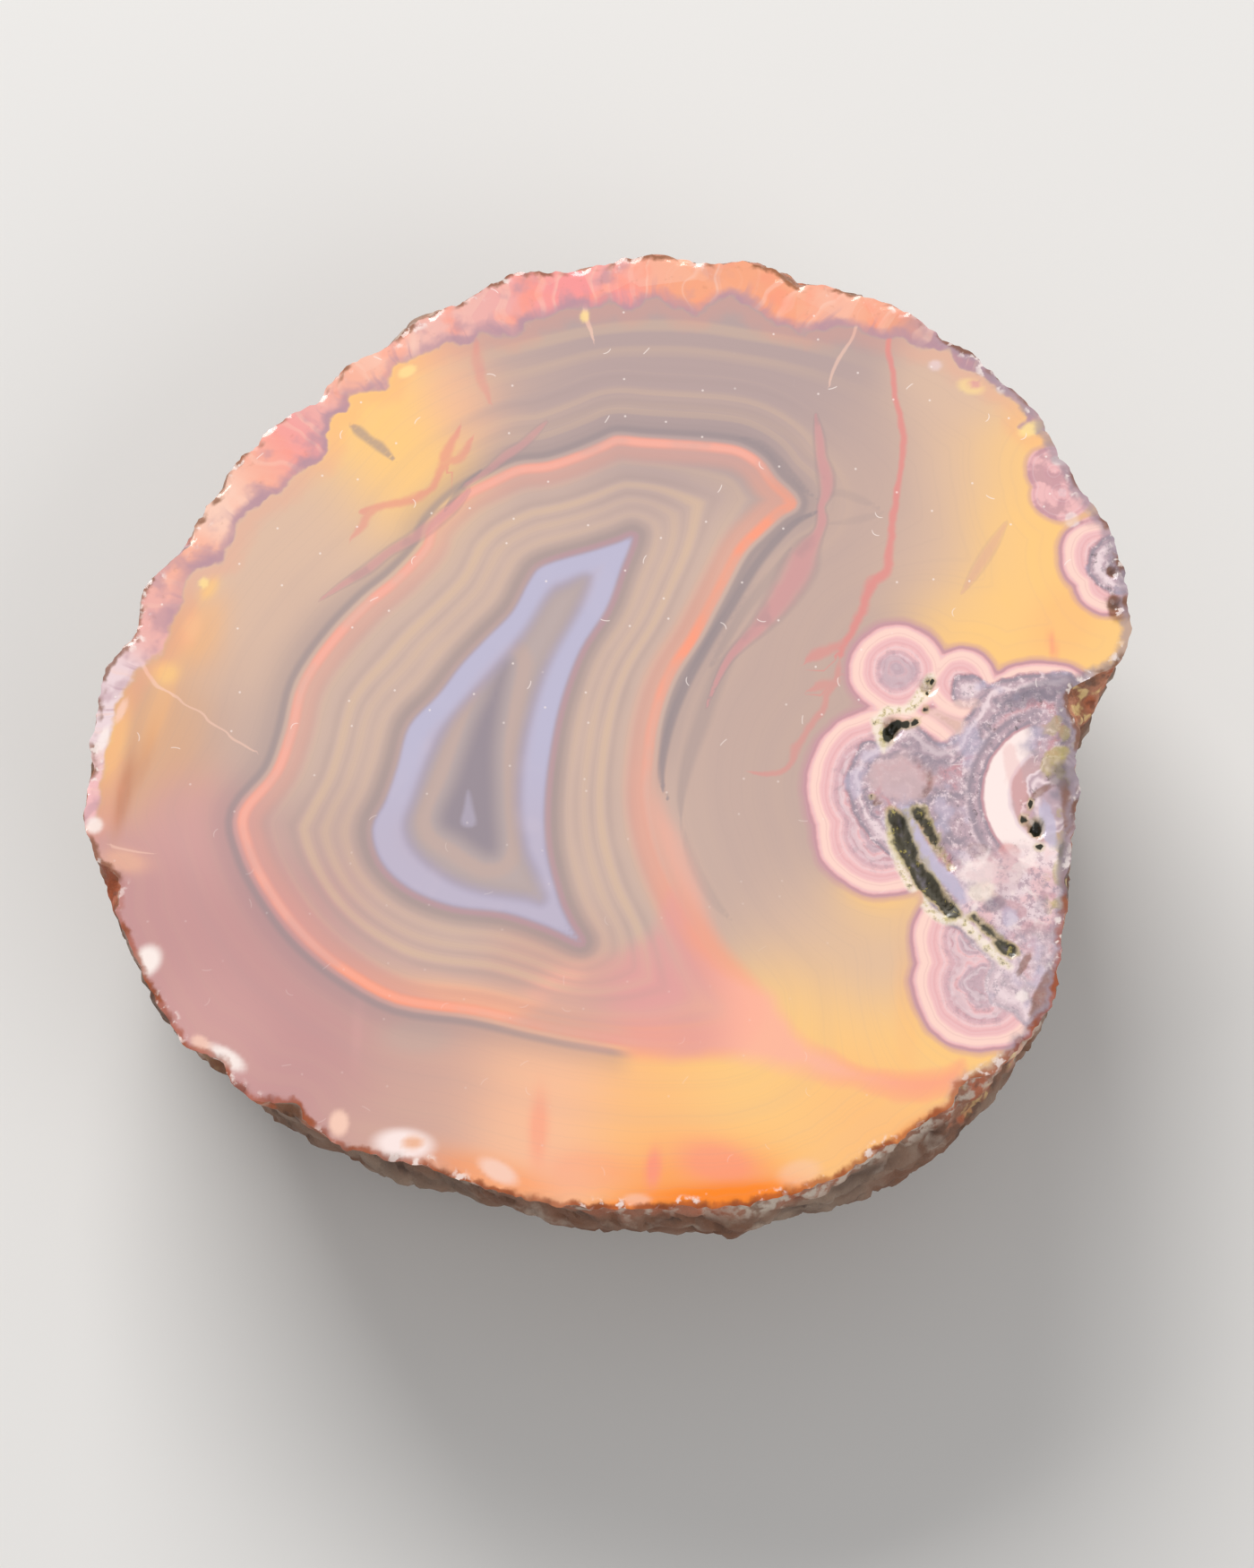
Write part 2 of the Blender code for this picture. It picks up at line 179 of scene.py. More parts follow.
CRACKS = (
    (0.7, ((17.4, 31.7, 0.1), (16.6, 28.7, 0.07), (15.4, 26.6, 0.09), (14.9, 25.0, 0.03))),
    (0.8, ((-31.6, 5.2, 0.14), (-31.0, 4.0, 0.1), (-30.4, 3.1, 0.12), (-29.6, 2.6, 0.04),
           (-29.1, 2.3, 0.08))),
    (0.65, ((-28.9, 2.2, 0.06), (-28.3, 1.6, 0.03), (-27.2, 1.0, 0.04), (-26.7, 0.4, 0.05),
            (-25.6, -0.3, 0.03), (-25.1, -0.8, 0.05), (-23.6, -1.7, 0.03))),
    (0.6, ((-32.9, -8.4, 0.07), (-31.4, -8.7, 0.04), (-30.2, -8.9, 0.01))),
    (0.8, ((-2.15, 33.95, 0.12), (-1.8, 31.7, 0.08), (-1.7, 30.3, 0.16), (-1.2, 28.4, 0.04))),
    (0.6, ((2.7, 34.9, 0.1), (2.85, 33.4, 0.06), (3.0, 32.05, 0.03))),
    (0.5, ((8.2, 33.4, 0.08), (8.1, 32.05, 0.03))),
)
# Open seams of dark moss between the lobes
MOSS_SEAMS = (
    (1.0, ((18.6, -5.9, 0.35), (19.0, -6.7, 0.62), (19.3, -7.9, 0.62), (19.9, -9.4, 0.55),
           (20.6, -10.8, 0.5), (21.7, -12.1, 0.5), (22.6, -13.0, 0.3))),
    (1.0, ((20.3, -6.0, 0.3), (21.0, -7.3, 0.18), (21.8, -8.6, 0.22), (22.5, -9.7, 0.12))),
    (1.0, ((23.9, -13.3, 0.25), (25.0, -14.4, 0.22), (25.9, -15.4, 0.28), (26.4, -16.0, 0.1))),
)
# The cream strips and the lavender channel beside the seams
CREAM_STRIPS = (
    (1.0, ((18.2, -1.6, 0.2), (17.9, -0.6, 0.4), (17.8, 0.5, 0.4), (18.6, 1.2, 0.35), (19.6, 1.2, 0.3),
           (20.3, 1.7, 0.35), (20.9, 2.7, 0.45), (21.4, 3.7, 0.3))),
    (0.8, ((18.3, -6.6, 0.2), (18.9, -9.2, 0.3), (20.0, -11.6, 0.3), (21.6, -13.3, 0.3),
           (23.2, -13.6, 0.25))),
    (0.9, ((23.2, -13.7, 0.3), (24.3, -14.9, 0.32), (25.3, -16.0, 0.3), (26.2, -16.8, 0.2))),
)
LAVENDER_CHANNEL = (
    (1.0, ((19.6, -5.8, 0.3), (20.2, -7.8, 0.55), (21.2, -9.6, 0.5), (22.5, -11.0, 0.5),
           (23.2, -12.2, 0.3))),
)

# Grey crystals fill the middle of the corner, inside this line and in these rounds, (x, y, radius)
CRYSTALS = (
    (20.4, 0.7), (21.9, -1.0), (23.4, 0.3), (24.4, 2.2), (26.0, 3.5), (28.6, 3.9), (31.5, 3.2), (32.0, -8.0),
    (31.5, -19.0), (28.6, -21.0), (26.8, -20.6), (25.6, -18.6), (24.6, -16.4), (23.4, -15.1), (21.8, -13.6),
    (20.2, -11.6), (18.9, -9.6), (17.6, -8.4), (16.3, -7.0), (15.6, -5.0), (15.7, -2.9), (16.7, -1.2),
    (18.4, -0.5), (19.4, 0.3),
)
CRYSTAL_ROUNDS = ((34.3, 11.8, 2.3), (26.4, -17.9, 2.0), (24.0, 2.6, 1.3))

# Crescents run round this centre at the right of the lobed corner, a little out of round
CRESCENT_CENTRE = (29.7, -4.9)
CRESCENT_SQUEEZE = (1.02, 0.96)

# Soft colours of the clear agate, as (x, y, reach, colour name)
DABS = (
    (0, 27, 6, "ash"), (8, 25, 6, "ash"), (0, 23, 6, "ash"), (14, 27, 4, "ash"), (-6, 25.5, 3, "fawn"),
    (-10, 24, 2.5, "apricot"), (-16, 22.5, 3.5, "honey"), (-14.5, 18.5, 3.5, "honey"),
    (-19, 16, 3, "sand"), (-22, 12, 4, "sand"), (-24.5, 5.5, 3.5, "sand"), (-27.8, 6, 2, "toffee"),
    (-29, 0.5, 2.5, "toffee"), (-24, 0, 3, "fawn"), (-30.5, -3.5, 2.5, "toffee"),
    (-27.5, -8, 3.5, "rose"), (-31, -12, 2.5, "mauve"), (-24, -14, 5, "mauve"), (-18, -20, 5, "mauve"),
    (-25, -20, 3, "rose"), (-12, -23.5, 4, "dusk"), (-12, -28, 3, "dusk"), (-5, -26, 4, "apricot"),
    # The orange dabs at (4, -32) and (9, -32) are painted glow: light shining through the thin lower edge
    (-6, -31, 3, "apricot"), (3, -28, 4, "amber"), (4, -32, 2.5, "painted_glow"), (9, -32, 2.5, "painted_glow"),
    (10, -26.5, 5, "honey"), (16, -27, 4, "amber"), (20, -21.5, 3.5, "honey"),
    (17.5, -12.5, 2.5, "honey"), (13, -19.5, 3.5, "honey"), (14, -14, 4, "sand"),
    (17.5, -16, 3, "sand"), (10, -8, 6, "fawn"), (11, 0, 6, "fawn"), (14, 7, 4, "fawn"),
    (19, 13, 3.5, "fawn"), (17, 20, 4, "fawn"), (22, 12.5, 3, "sand"), (25, 8, 3.5, "honey"),
    (29, 8.5, 3.5, "honey"), (27.5, 14, 3.5, "honey"), (27, 20, 3, "honey"), (23.5, 19, 3, "sand"),
    (22, 25, 2.5, "sand"), (24.5, 23.5, 2.5, "sand"), (6, 12, 4, "biscuit"), (-2, 16, 4, "biscuit"),
    (-9, 12, 4, "biscuit"), (-14, 5, 4, "biscuit"), (-18, -1, 4, "biscuit"), (-19, -7, 3, "fawn"),
    (-13, -14, 4, "biscuit"), (-4, -17, 3, "dusk"), (0, 2, 4, "biscuit"), (1, -8, 5, "biscuit"),
    (-8, -2, 4, "biscuit"), (-21, 6, 3, "fawn"),
)

# The same for the crust
CRUST_DABS = (
    (-34.5, -5, 2, "lobe_pink"), (-34, 0, 2, "lobe_pale"), (-33, 4, 1.5, "lobe_pale"),
    (-31, 8, 2.5, "crust_pink"), (-28.5, 11.5, 2, "crust_peach"), (-26, 16, 2, "crust_pale"),
    (-23, 18.5, 2, "crust_peach"), (-21, 20, 2, "crust_rose"), (-19, 22, 2, "crust_pink"),
    (-17, 25.5, 2, "crust_peach"), (-14.5, 28, 2, "crust_pale"), (-12, 29, 2, "crust_pink"),
    (-8, 30.5, 2.5, "crust_pink"), (-4, 32, 2.5, "crust_rose"), (0, 33.3, 2.5, "crust_rose"),
    (2.5, 34.2, 1.5, "crust_orange"), (5, 32.5, 2, "crust_orange"), (9, 33, 3, "crust_orange"),
    (12.5, 31.5, 1.5, "crust_orange"), (16, 31, 2, "crust_peach"), (19, 30, 2, "crust_orange"),
    (22, 28.7, 2, "crust_line"), (25.5, 26.5, 2, "crust_line"), (28, 24, 2, "crust_pink"),
    (29.5, 21, 2, "crust_pale"),
)

# Softer marks over them, as (x, y, half length, half width, turn in degrees, colour name, strength)
SMUDGES = (
    (-32.2, -4.6, 2.9, 0.5, 81, "bronze", 0.65),
    (-30.9, -2.0, 2.6, 0.45, 78, "bronze", 0.3),
    (-32.9, -1.0, 3.0, 0.7, 80, "honey", 0.6),
    (-30.0, 1.5, 3.5, 0.7, 75, "amber", 0.35),
    (-28.6, -6.5, 2.2, 3.0, 0, "rose", 0.5),
    (-27.0, 10.0, 0.9, 0.5, 60, "honey", 0.7),
    (-28.1, 7.1, 1.2, 0.6, 75, "apricot", 0.6),
    (-22.5, -17.5, 9.0, 1.3, -50, "mauve", 0.55),
    (-16.4, -20.5, 2.8, 0.35, 88, "rose", 0.5),
    (-12.5, -21.5, 2.4, 1.2, 0, "fawn", 0.6),
    (4.6, -9.5, 4.5, 0.8, -68, "salmon", 0.45),
    (-32.0, -9.4, 1.6, 0.8, -10, "apricot", 0.5),
    (-3.0, -18.2, 2.4, 1.5, 20, "salmon", 0.6),
    (2.5, -18.5, 3.2, 2.2, 0, "dustpink", 0.85),
    (-8.5, -18.9, 5.0, 0.9, -14, "apricot", 0.6),
    (-4.6, -27.6, 2.4, 0.6, 88, "coral", 0.5),
    (2.8, -30.3, 1.3, 0.5, 85, "coral", 0.9),
    (7.0, -30.0, 2.8, 1.5, -15, "coral", 0.75),
    (-1.5, -30.5, 3.0, 1.5, 0, "coral", 0.35),
    # These four orange smudges along the lower rim are painted glow: light shining through the thin edge
    (8.0, -32.1, 5.2, 0.9, 3, "painted_glow", 1.0),
    (1.0, -32.9, 2.5, 0.4, 0, "painted_glow", 0.7),
    (-7.6, -30.8, 4.5, 1.2, -18, "painted_glow", 0.45),
    (20.5, -27.2, 3.0, 0.5, 32, "painted_glow", 0.5),
    (-2.9, 9.5, 1.4, 0.55, 58, "umber", 0.35),
    (4.0, 24.3, 6.0, 1.5, 0, "ash", 0.5),
    (12.0, -5.0, 3.0, 5.0, 0, "fawn", 0.5),
    (17.5, -11.8, 2.0, 1.0, -10, "honey", 0.5),
    (19.3, -20.0, 0.8, 5.0, 0, "amber", 0.3),
    (30.3, 7.5, 3.0, 2.2, 60, "amber", 0.5),
    (29.6, 5.9, 0.25, 1.0, 8, "coral", 0.6),
    (-27.4, 7.0, 1.6, 2.8, -25, "amber", 0.4),
    (-29.8, 3.9, 0.9, 0.8, 0, "honey", 0.7),
    (-23.5, 8.0, 3.0, 2.0, 50, "sand", 0.5),
)

# Bright spots on the face, in the same form. The glint ones, and the white and pale ones along the lower rim,
# are painted highlights and painted glow where light catches and shines through the thin edge; the yellow,
# apricot and pink ones are the stone's own colour
SPOTS_AND_PAINTED_GLOWS = (
    (-30.3, -16.3, 0.95, 0.75, 60, "glint", 0.95),
    (-24.9, -22.9, 1.2, 0.5, -33, "glint", 0.9),
    (-26.6, -21.9, 0.6, 0.4, -33, "crust_pale", 0.8),
    (-17.5, -27.3, 0.55, 0.75, 0, "crust_pale", 0.95),
    (-13.3, -28.7, 1.6, 0.85, -5, "white", 0.95),
    (-12.7, -28.6, 0.6, 0.35, 0, "apricot", 0.7),
    (-7.2, -30.5, 1.2, 0.55, -30, "crust_pale", 0.95),
    (1.7, -32.4, 0.8, 0.35, 0, "crust_pale", 0.5),
    (12.2, -30.6, 1.2, 0.7, 15, "crust_pale", 0.35),
    (-27.4, 10.4, 0.3, 0.36, 0, "butter", 0.8),
    (-13.95, 26.05, 0.6, 0.35, 30, "butter", 0.8),
    (22.2, 26.5, 0.4, 0.35, 0, "lobe_pale", 0.6),
    (24.6, 24.9, 0.8, 0.5, -15, "butter", 0.6),
    (24.9, 25.1, 0.4, 0.28, -15, "dustpink", 0.8),
    (28.7, 21.8, 0.85, 0.42, 28, "butter", 0.9),
    (-1.8, 30.2, 0.3, 0.4, 0, "butter", 0.8),
    (-32.6, 1.2, 0.8, 0.25, 70, "crust_pale", 0.8),
    (-33.7, -0.8, 0.8, 0.3, 75, "glint", 0.7),
    (-34.1, -6.9, 0.5, 0.5, 0, "glint", 0.8),
)

# Small things in the lobed corner, drawn over it in order, in the same form; the white glint ones are painted
# highlights
LOBE_MARKS = (
    (19.3, -3.5, 1.85, 1.55, 0, "pebble", 0.8),
    (20.55, -2.5, 0.2, 0.45, 38, "umber", 0.5),
    (21.15, -3.5, 0.2, 0.55, 6, "umber", 0.6),
    (20.95, -4.5, 0.2, 0.4, -30, "umber", 0.5),
    (17.6, -5.3, 0.25, 0.2, 0, "umber", 0.6),
    (19.2, 3.9, 1.1, 1.0, 0, "lobe_grey", 0.55),
    (21.2, -1.8, 1.5, 0.9, -40, "lobe_dusk", 0.4),
    (22.4, 1.0, 1.9, 0.6, 22, "peach", 0.6),
    (22.7, 0.2, 0.9, 0.6, 10, "peach", 0.5),
    (28.7, 2.6, 2.4, 0.7, 20, "slate", 0.6),
    (27.0, -4.2, 0.5, 3.0, 12, "dustpink", 0.3),
    (24.5, -11.4, 0.45, 0.4, 0, "apricot", 0.8),
    (24.4, -11.5, 0.8, 0.6, 20, "cream", 0.6),
    (25.2, -12.4, 0.8, 0.4, 25, "slate", 0.6),
    (26.2, -13.3, 0.5, 0.6, 0, "lilac", 0.6),
    (29.9, -3.3, 0.9, 0.8, 0, "soot", 0.6),
    (29.7, -1.9, 0.75, 0.5, 30, "olive", 0.6),
    (28.9, -2.8, 0.3, 0.6, 10, "olive", 0.45),
    (30.2, -0.4, 0.3, 0.5, 0, "olive", 0.4),
    (29.4, -10.3, 0.3, 0.7, 5, "olive", 0.5),
    (29.6, -12.3, 0.5, 0.4, 0, "olive", 0.6),
    (29.9, -9.9, 0.32, 1.9, 0, "soot", 0.8),
    (30.3, -6.3, 0.35, 1.9, 5, "umber", 0.65),
    (28.9, -6.8, 0.45, 1.5, 8, "lilac", 0.8),
    (28.4, -4.6, 0.8, 0.25, 35, "umber", 0.6),
    (26.3, -8.7, 0.6, 0.45, 0, "dustpink", 0.6),
    (24.2, -8.6, 0.6, 0.5, 0, "umber", 0.25),
    (24.3, -10.1, 1.2, 0.7, 10, "white", 0.6),
    (26.3, -10.2, 1.3, 0.7, 80, "pebble", 0.4),
    (28.2, -18.7, 0.5, 1.6, -20, "umber", 0.7),
    (28.3, -20.3, 0.5, 1.0, -35, "soot", 0.5),
    (27.0, -16.6, 0.25, 0.8, -30, "umber", 0.6),
    (26.8, -18.7, 0.4, 0.4, 0, "glint", 0.6),
    (34.1, 8.6, 0.7, 0.9, 20, "umber", 0.85),
    (33.9, 11.2, 0.5, 0.4, 0, "umber", 0.8),
    (30.4, 19.4, 0.5, 0.35, 0, "glint", 0.7),
    (31.2, 15.0, 0.4, 0.5, 0, "glint", 0.5),
    (32.0, 3.6, 0.3, 0.4, 0, "glint", 0.8),
)

# Dark pits there, as (x, y, half length, half width, turn in degrees)
PITS = (
    (18.5, -0.35, 0.38, 0.75, -12),
    (18.9, 0.25, 0.5, 0.32, 15),
    (19.6, 0.2, 0.34, 0.26, 0),
    (20.3, 0.4, 0.3, 0.24, 20),
    (21.0, 1.3, 0.2, 0.26, 0),
    (21.1, 2.55, 0.2, 0.25, 0),
    (21.5, 3.3, 0.18, 0.2, 0),
    (28.1, -7.1, 0.38, 0.55, -8),
    (27.3, -6.5, 0.25, 0.35, 0),
    (28.3, -8.4, 0.3, 0.25, 0),
    (27.8, -5.4, 0.18, 0.35, -10),
    (17.3, -4.9, 0.2, 0.15, 0),
)

# Broken flakes at the rim, as (x, y, radius, colour name)
FLAKE_SCARS = (
    (32.6, 1.9, 2.1, "bronze"), (-26.3, -24.2, 1.5, "umber"), (-21.4, -27.4, 1.6, "umber"),
    (-33.9, -11.3, 1.6, "rust"), (-19.0, -28.7, 0.9, "rust"), (-35.2, -2.7, 1.0, "umber"),
    (24.4, -26.4, 2.2, "clay"), (31.0, -11.0, 1.1, "soot"), (-29.3, 13.5, 0.9, "crust_line"),
    (-33.2, 6.6, 1.1, "lobe_pale"), (27.2, -23.0, 1.1, "cream"), (13.4, 33.7, 1.3, "clay"),
)


# The stone's body and its light

# Depths in mm of the flank's rings: some close together below the face, then even ones to the base
CLOSE_DEPTHS = (0.0, 0.1, 0.22, 0.36, 0.52, 0.72, 0.95, 1.2, 1.5, 1.85, 2.25)
EVEN_DEPTHS_FROM = 2.7
EVEN_RINGS = 38
LOWEST_RING_ABOVE_BASE = 0.25

# How strongly the stone bends light
STONE_IOR = 1.54

# Soft lamps, as (name, place in metres, side in metres, watts), and the light of the air
LAMPS = (
    ("window", (-0.35, 1.05, 0.72), 0.8, 20.0),
    ("fill", (0.8, -0.7, 0.8), 0.9, 5.0),
)
AIR_COLOUR = (0.95, 0.97, 1.0, 1.0)
AIR_STRENGTH = 0.45

# Half of the floor's side in metres, and how far it lies below the stone
FLOOR_REACH = 3.0
FLOOR_DROP = 0.02 * MM
FLOOR_ROUGHNESS = 0.75

# The drawing's point that the camera looks at, and the width of its sensor in mm
AIM = (1.1, -4.0)
SENSOR_WIDTH = 30.0


def linear(red, green, blue):
    """A screen colour, each channel 0 to 255, as the linear colour that a shader takes."""
    scaled = (channel / 255 for channel in (red, green, blue))
    return tuple(c / 12.92 if c <= 0.04045 else ((c + 0.055) / 1.055) ** 2.4 for c in scaled)


def colour(label, red, green, blue):
    """A colour setting for a property group."""
    return bpy.props.FloatVectorProperty(
        name=label.capitalize(), description=f"Colour of the {label}", subtype="COLOR",
        default=linear(red, green, blue), min=0.0, max=1.0,
    )


def length(label, description, millimetres):
    """A length setting for a property group."""
    return bpy.props.FloatProperty(
        name=label, description=description, default=millimetres * MM, min=0.0, unit="LENGTH", precision=5,
    )


class AgatePalette(bpy.types.PropertyGroup):
    """Colours of the face, the crust, the lobes, the marks and the rind."""

    ash: colour("mauve-grey agate at the top", 184, 160, 156)
    fawn: colour("beige-grey agate", 199, 170, 158)
    biscuit: colour("beige agate inside the red ring", 208, 179, 164)
    sand: colour("pale tan agate", 222, 187, 163)
    honey: colour("yellow agate", 255, 203, 128)
    toffee: colour("tan agate at the left rim", 219, 170, 134)
    apricot: colour("orange-pink agate", 250, 190, 152)
    amber: colour("orange agate", 254, 188, 122)
    # Painted glow: orange light shining through the thin lower edge
    painted_glow: colour("glowing orange by the lower rim", 255, 136, 30)
    rose: colour("pink-mauve agate", 212, 160, 155)
    mauve: colour("mauve agate at the lower left", 200, 149, 147)
    dusk: colour("dull pink agate", 210, 167, 152)
    salmon: colour("salmon flow", 254, 180, 158)
    dustpink: colour("dusty pink", 228, 160, 156)
    coral: colour("coral red", 254, 150, 122)
    vein_red: colour("red veins", 232, 136, 132)
    vein_mauve: colour("mauve-red veins", 211, 153, 152)
    red_line: colour("red ring", 254, 158, 126)
    steel: colour("dark line beside the red ring", 152, 138, 140)
    shade: colour("grey bands", 172, 150, 146)
    tan: colour("tan bands", 224, 190, 158)
    lavender: colour("lavender ring", 193, 181, 198)
    sky: colour("bluish edge of the lavender ring", 190, 186, 210)
    violet: colour("deeper lavender", 172, 160, 180)
    core: colour("dark core", 152, 139, 147)
    core_haze: colour("grey round the core", 188, 169, 165)
    lilac: colour("pale lilac", 196, 186, 206)
    slate: colour("blue-grey", 128, 118, 130)
    blush_line: colour("pink part of the red ring", 246, 166, 146)
    crust_rose: colour("pink crust", 248, 152, 150)
    crust_peach: colour("peach crust", 248, 178, 152)
    crust_orange: colour("orange crust", 246, 166, 128)
    crust_pink: colour("dusty pink crust", 238, 176, 168)
    crust_pale: colour("pale crust", 250, 205, 184)
    crust_line: colour("grey-mauve patches of the crust", 186, 146, 156)
    lobe_line: colour("mauve line round the lobes", 202, 152, 158)
    lobe_rim: colour("pink-white rim of the lobes", 246, 194, 192)
    peach: colour("peach rim of the lobes", 255, 214, 200)
    lobe_pink: colour("pink of the lobes", 240, 184, 184)
    lobe_grey: colour("grey of the lobes", 194, 166, 174)
    lobe_dusk: colour("dark grey of the lobes", 160, 143, 153)
    clay_pink: colour("pink-brown band", 206, 168, 168)
    lobe_blush: colour("soft pink of the lobes", 226, 184, 189)
    lobe_pale: colour("pale bands of the lobes", 238, 214, 216)
    pebble: colour("pink-grey pebble", 212, 180, 180)
    cream: colour("cream", 250, 234, 214)
    white: colour("white crescent", 255, 234, 228)
    # White of the lint specks, and of the painted glints: highlights where light catches the rim
    glint: colour("white glints", 255, 240, 232)
    butter: colour("yellow spots", 255, 222, 150)
    moss: colour("dark moss", 52, 50, 38)
    olive: colour("olive stain", 190, 172, 92)
    soot: colour("dark grey stain", 92, 84, 84)
    umber: colour("brown stain", 128, 78, 44)
    bronze: colour("light brown streaks", 196, 128, 96)
    rust: colour("rust stain", 164, 74, 30)
    clay: colour("dull red-brown", 158, 108, 84)
    rind_dark: colour("dark rind", 66, 42, 30)
    rind_brown: colour("brown rind", 124, 82, 58)
    rind_grey: colour("grey rind", 152, 130, 112)
    # Painted glow: red-orange light shining through the edge under the rim
    ember_dark: colour("red-orange glow under the rim", 206, 98, 48)
    rind_pale: colour("pale rind", 208, 192, 176)


class AgateShape(bpy.types.PropertyGroup):
    """How finely the stone is built, and how rough it is."""

    face_step: length("Face step", "Spacing of the points over the polished face", 0.30)
    base_step: length("Base step", "Spacing of the points over the sawn underside", 0.80)
    rim_crumble: length("Rim crumble", "Depth of the small crumbs along the polished edge", 0.26)
    rind_relief: length("Rind relief", "Height of the fine knobs and pits of the rind", 0.38)
    rim_points: bpy.props.IntProperty(
        name="Rim points", description="Number of points round the stone", default=720, min=90, max=2000,
    )


class AgateStudio(bpy.types.PropertyGroup):
    """The camera, the floor's colour and the light."""

    elevation: bpy.props.FloatProperty(
        name="Camera elevation", description="Angle of the view above the table", default=math.radians(70),
        subtype="ANGLE",
    )
    distance: length("Camera distance", "From the camera to the point it looks at", 311.6)
    lens: bpy.props.FloatProperty(
        name="Lens", description="Focal length of the camera", default=90.0, min=10.0, unit="CAMERA",
    )
    floor_colour: colour("studio floor", 226, 223, 219)
    light: bpy.props.FloatProperty(
        name="Light", description="Strength of all lamps together", default=0.92, min=0.0,
    )


# Lines and distances on the face

def smooth_line(points, closed, steps=5):
    """Points along the smooth curve through the given ones, a few for each."""
    knots = np.array(points, dtype=float)
    if closed:
        before, after, beyond = (np.roll(knots, turn, axis=0) for turn in (1, -1, -2))
    else:
        padded = np.vstack([2 * knots[0] - knots[1], knots, 2 * knots[-1] - knots[-2]])
        before, after, beyond = padded[:-3], padded[2:-1], padded[3:]
        last, knots = knots[-1], knots[:-1]
    curve = [
        0.5 * (2 * knots + (after - before) * t + (2 * before - 5 * knots + 4 * after - beyond) * t**2
               + (3 * knots - before - 3 * after + beyond) * t**3)
        for t in np.linspace(0, 1, steps, endpoint=False)
    ]
    line = np.stack(curve, axis=1).reshape(-1, knots.shape[1])
    return np.vstack([line, line[:1] if closed else last[None]])


def measure(line, spots):
    """(distance, side, half width, overshoot past an end) from each spot to the line."""
    best = np.full(len(spots), np.inf)
    side, width, past = np.ones(len(spots)), np.zeros(len(spots)), np.zeros(len(spots))
    for start, end in zip(line[:-1], line[1:]):
        run = end[:2] - start[:2]
        size = float(run @ run)
        if size == 0.0:
            continue
        apart = spots - start[:2]
        free = (apart @ run) / size
        share = np.clip(free, 0, 1)
        off = apart - share[:, None] * run
        distance = np.hypot(off[:, 0], off[:, 1])
        nearer = distance < best
        best[nearer] = distance[nearer]
        side[nearer] = np.where(run[0] * apart[nearer, 1] < run[1] * apart[nearer, 0], -1, 1)
        past[nearer] = np.abs(free[nearer] - share[nearer]) * math.sqrt(size)
        if len(start) == 3:
            width[nearer] = start[2] + (end[2] - start[2]) * share[nearer]
    return best, side, width, past


def inside(line, spots):
    """Whether each spot is inside the closed line."""
    odd = np.zeros(len(spots), dtype=bool)
    x, y = spots[:, 0], spots[:, 1]
    for (x0, y0), (x1, y1) in zip(line[:-1], line[1:]):
        if y0 == y1:
            continue
        crosses = (y0 > y) != (y1 > y)
        odd ^= crosses & (x < x0 + (x1 - x0) * (y - y0) / (y1 - y0))
    return odd


def gap(points, spots, steps=4):
    """Distance in mm from each spot to the closed curve, negative inside it."""
    line = smooth_line(points, True, steps)
    distance = measure(line, spots)[0]
    return np.where(inside(line, spots), -distance, distance)


def strand_fields(strands, spots):
    """(distance from the nearest vein's line, signed by its side and one at its edge, strength)."""
    offset = np.full(len(spots), np.inf)
    strength = np.zeros(len(spots))
    for power, route in strands:
        distance, side, width, past = measure(smooth_line(route, False), spots)
        reach = distance / (width + 0.03)
        nearer = reach < np.abs(offset)
        offset[nearer] = (reach * side)[nearer]
        beside = np.clip(3.0 - distance / (width + 0.25), 0, 1)
        ends = np.clip(1 - past / 0.4, 0, 1)
        strength[nearer] = (power * beside * ends)[nearer]
    return np.clip(offset, -9, 9), strength


def depth_in(strands, spots):
    """How deep in mm each spot lies in the nearest of several strips, negative outside."""
    depth = np.full(len(spots), -9.0)
    for _power, route in strands:
        distance, _side, width, _past = measure(smooth_line(route, False), spots)
        depth = np.maximum(depth, width - distance)
    return depth


def lobe_field(spots):
    """How deep in mm each spot lies in its lobe, negative outside all of them."""
    depth = np.full(len(spots), -99.0)
    for x, y, radius in LOBES:
        depth = np.maximum(depth, radius - np.hypot(spots[:, 0] - x, spots[:, 1] - y))
    return depth


def crystal_field(spots):
    """How deep in mm each spot lies in the grey crystals, negative outside them."""
    depth = -gap(CRYSTALS, spots)
    for x, y, radius in CRYSTAL_ROUNDS:
        depth = np.maximum(depth, radius - np.hypot(spots[:, 0] - x, spots[:, 1] - y))
    return depth


def eased(points, reach, keep):
    """The line of points evened out over its neighbours, thinned to one in so many."""
    line = np.array(points)
    return [tuple(line[max(0, at - reach):at + reach + 1].mean(axis=0)) for at in range(0, len(line), keep)]


def oval_reach(spots, x, y, half_length, half_width, turn):
    """Distance of each spot from a turned oval's middle, one at the oval's edge."""
    angle = math.radians(turn)
    east, north = spots[:, 0] - x, spots[:, 1] - y
    ahead = (east * math.cos(angle) + north * math.sin(angle)) / half_length
    across = (north * math.cos(angle) - east * math.sin(angle)) / half_width
    return np.hypot(ahead, across)


def layered(spots, palette, marks):
    """(colour, cover, power) of the marks laid one over the other."""
    hue = np.zeros((len(spots), 3))
    cover = np.full(len(spots), 1e-6)
    power = np.zeros(len(spots))
    for x, y, half_length, half_width, turn, name, strength in marks:
        own = np.clip(1.6 - oval_reach(spots, x, y, half_length, half_width, turn), 1e-7, 1)
        total = own + cover * (1 - own)
        share = own / total
        hue = hue * (1 - share[:, None]) + np.array(getattr(palette, name)) * share[:, None]
        power = power * (1 - share) + strength * share
        cover = total
    return hue, cover, power


def pit_field(spots):
    """One in the middle of a pit, zero at its edge, negative outside."""
    return np.max([1 - oval_reach(spots, *pit) for pit in PITS], axis=0).clip(-2, 1)


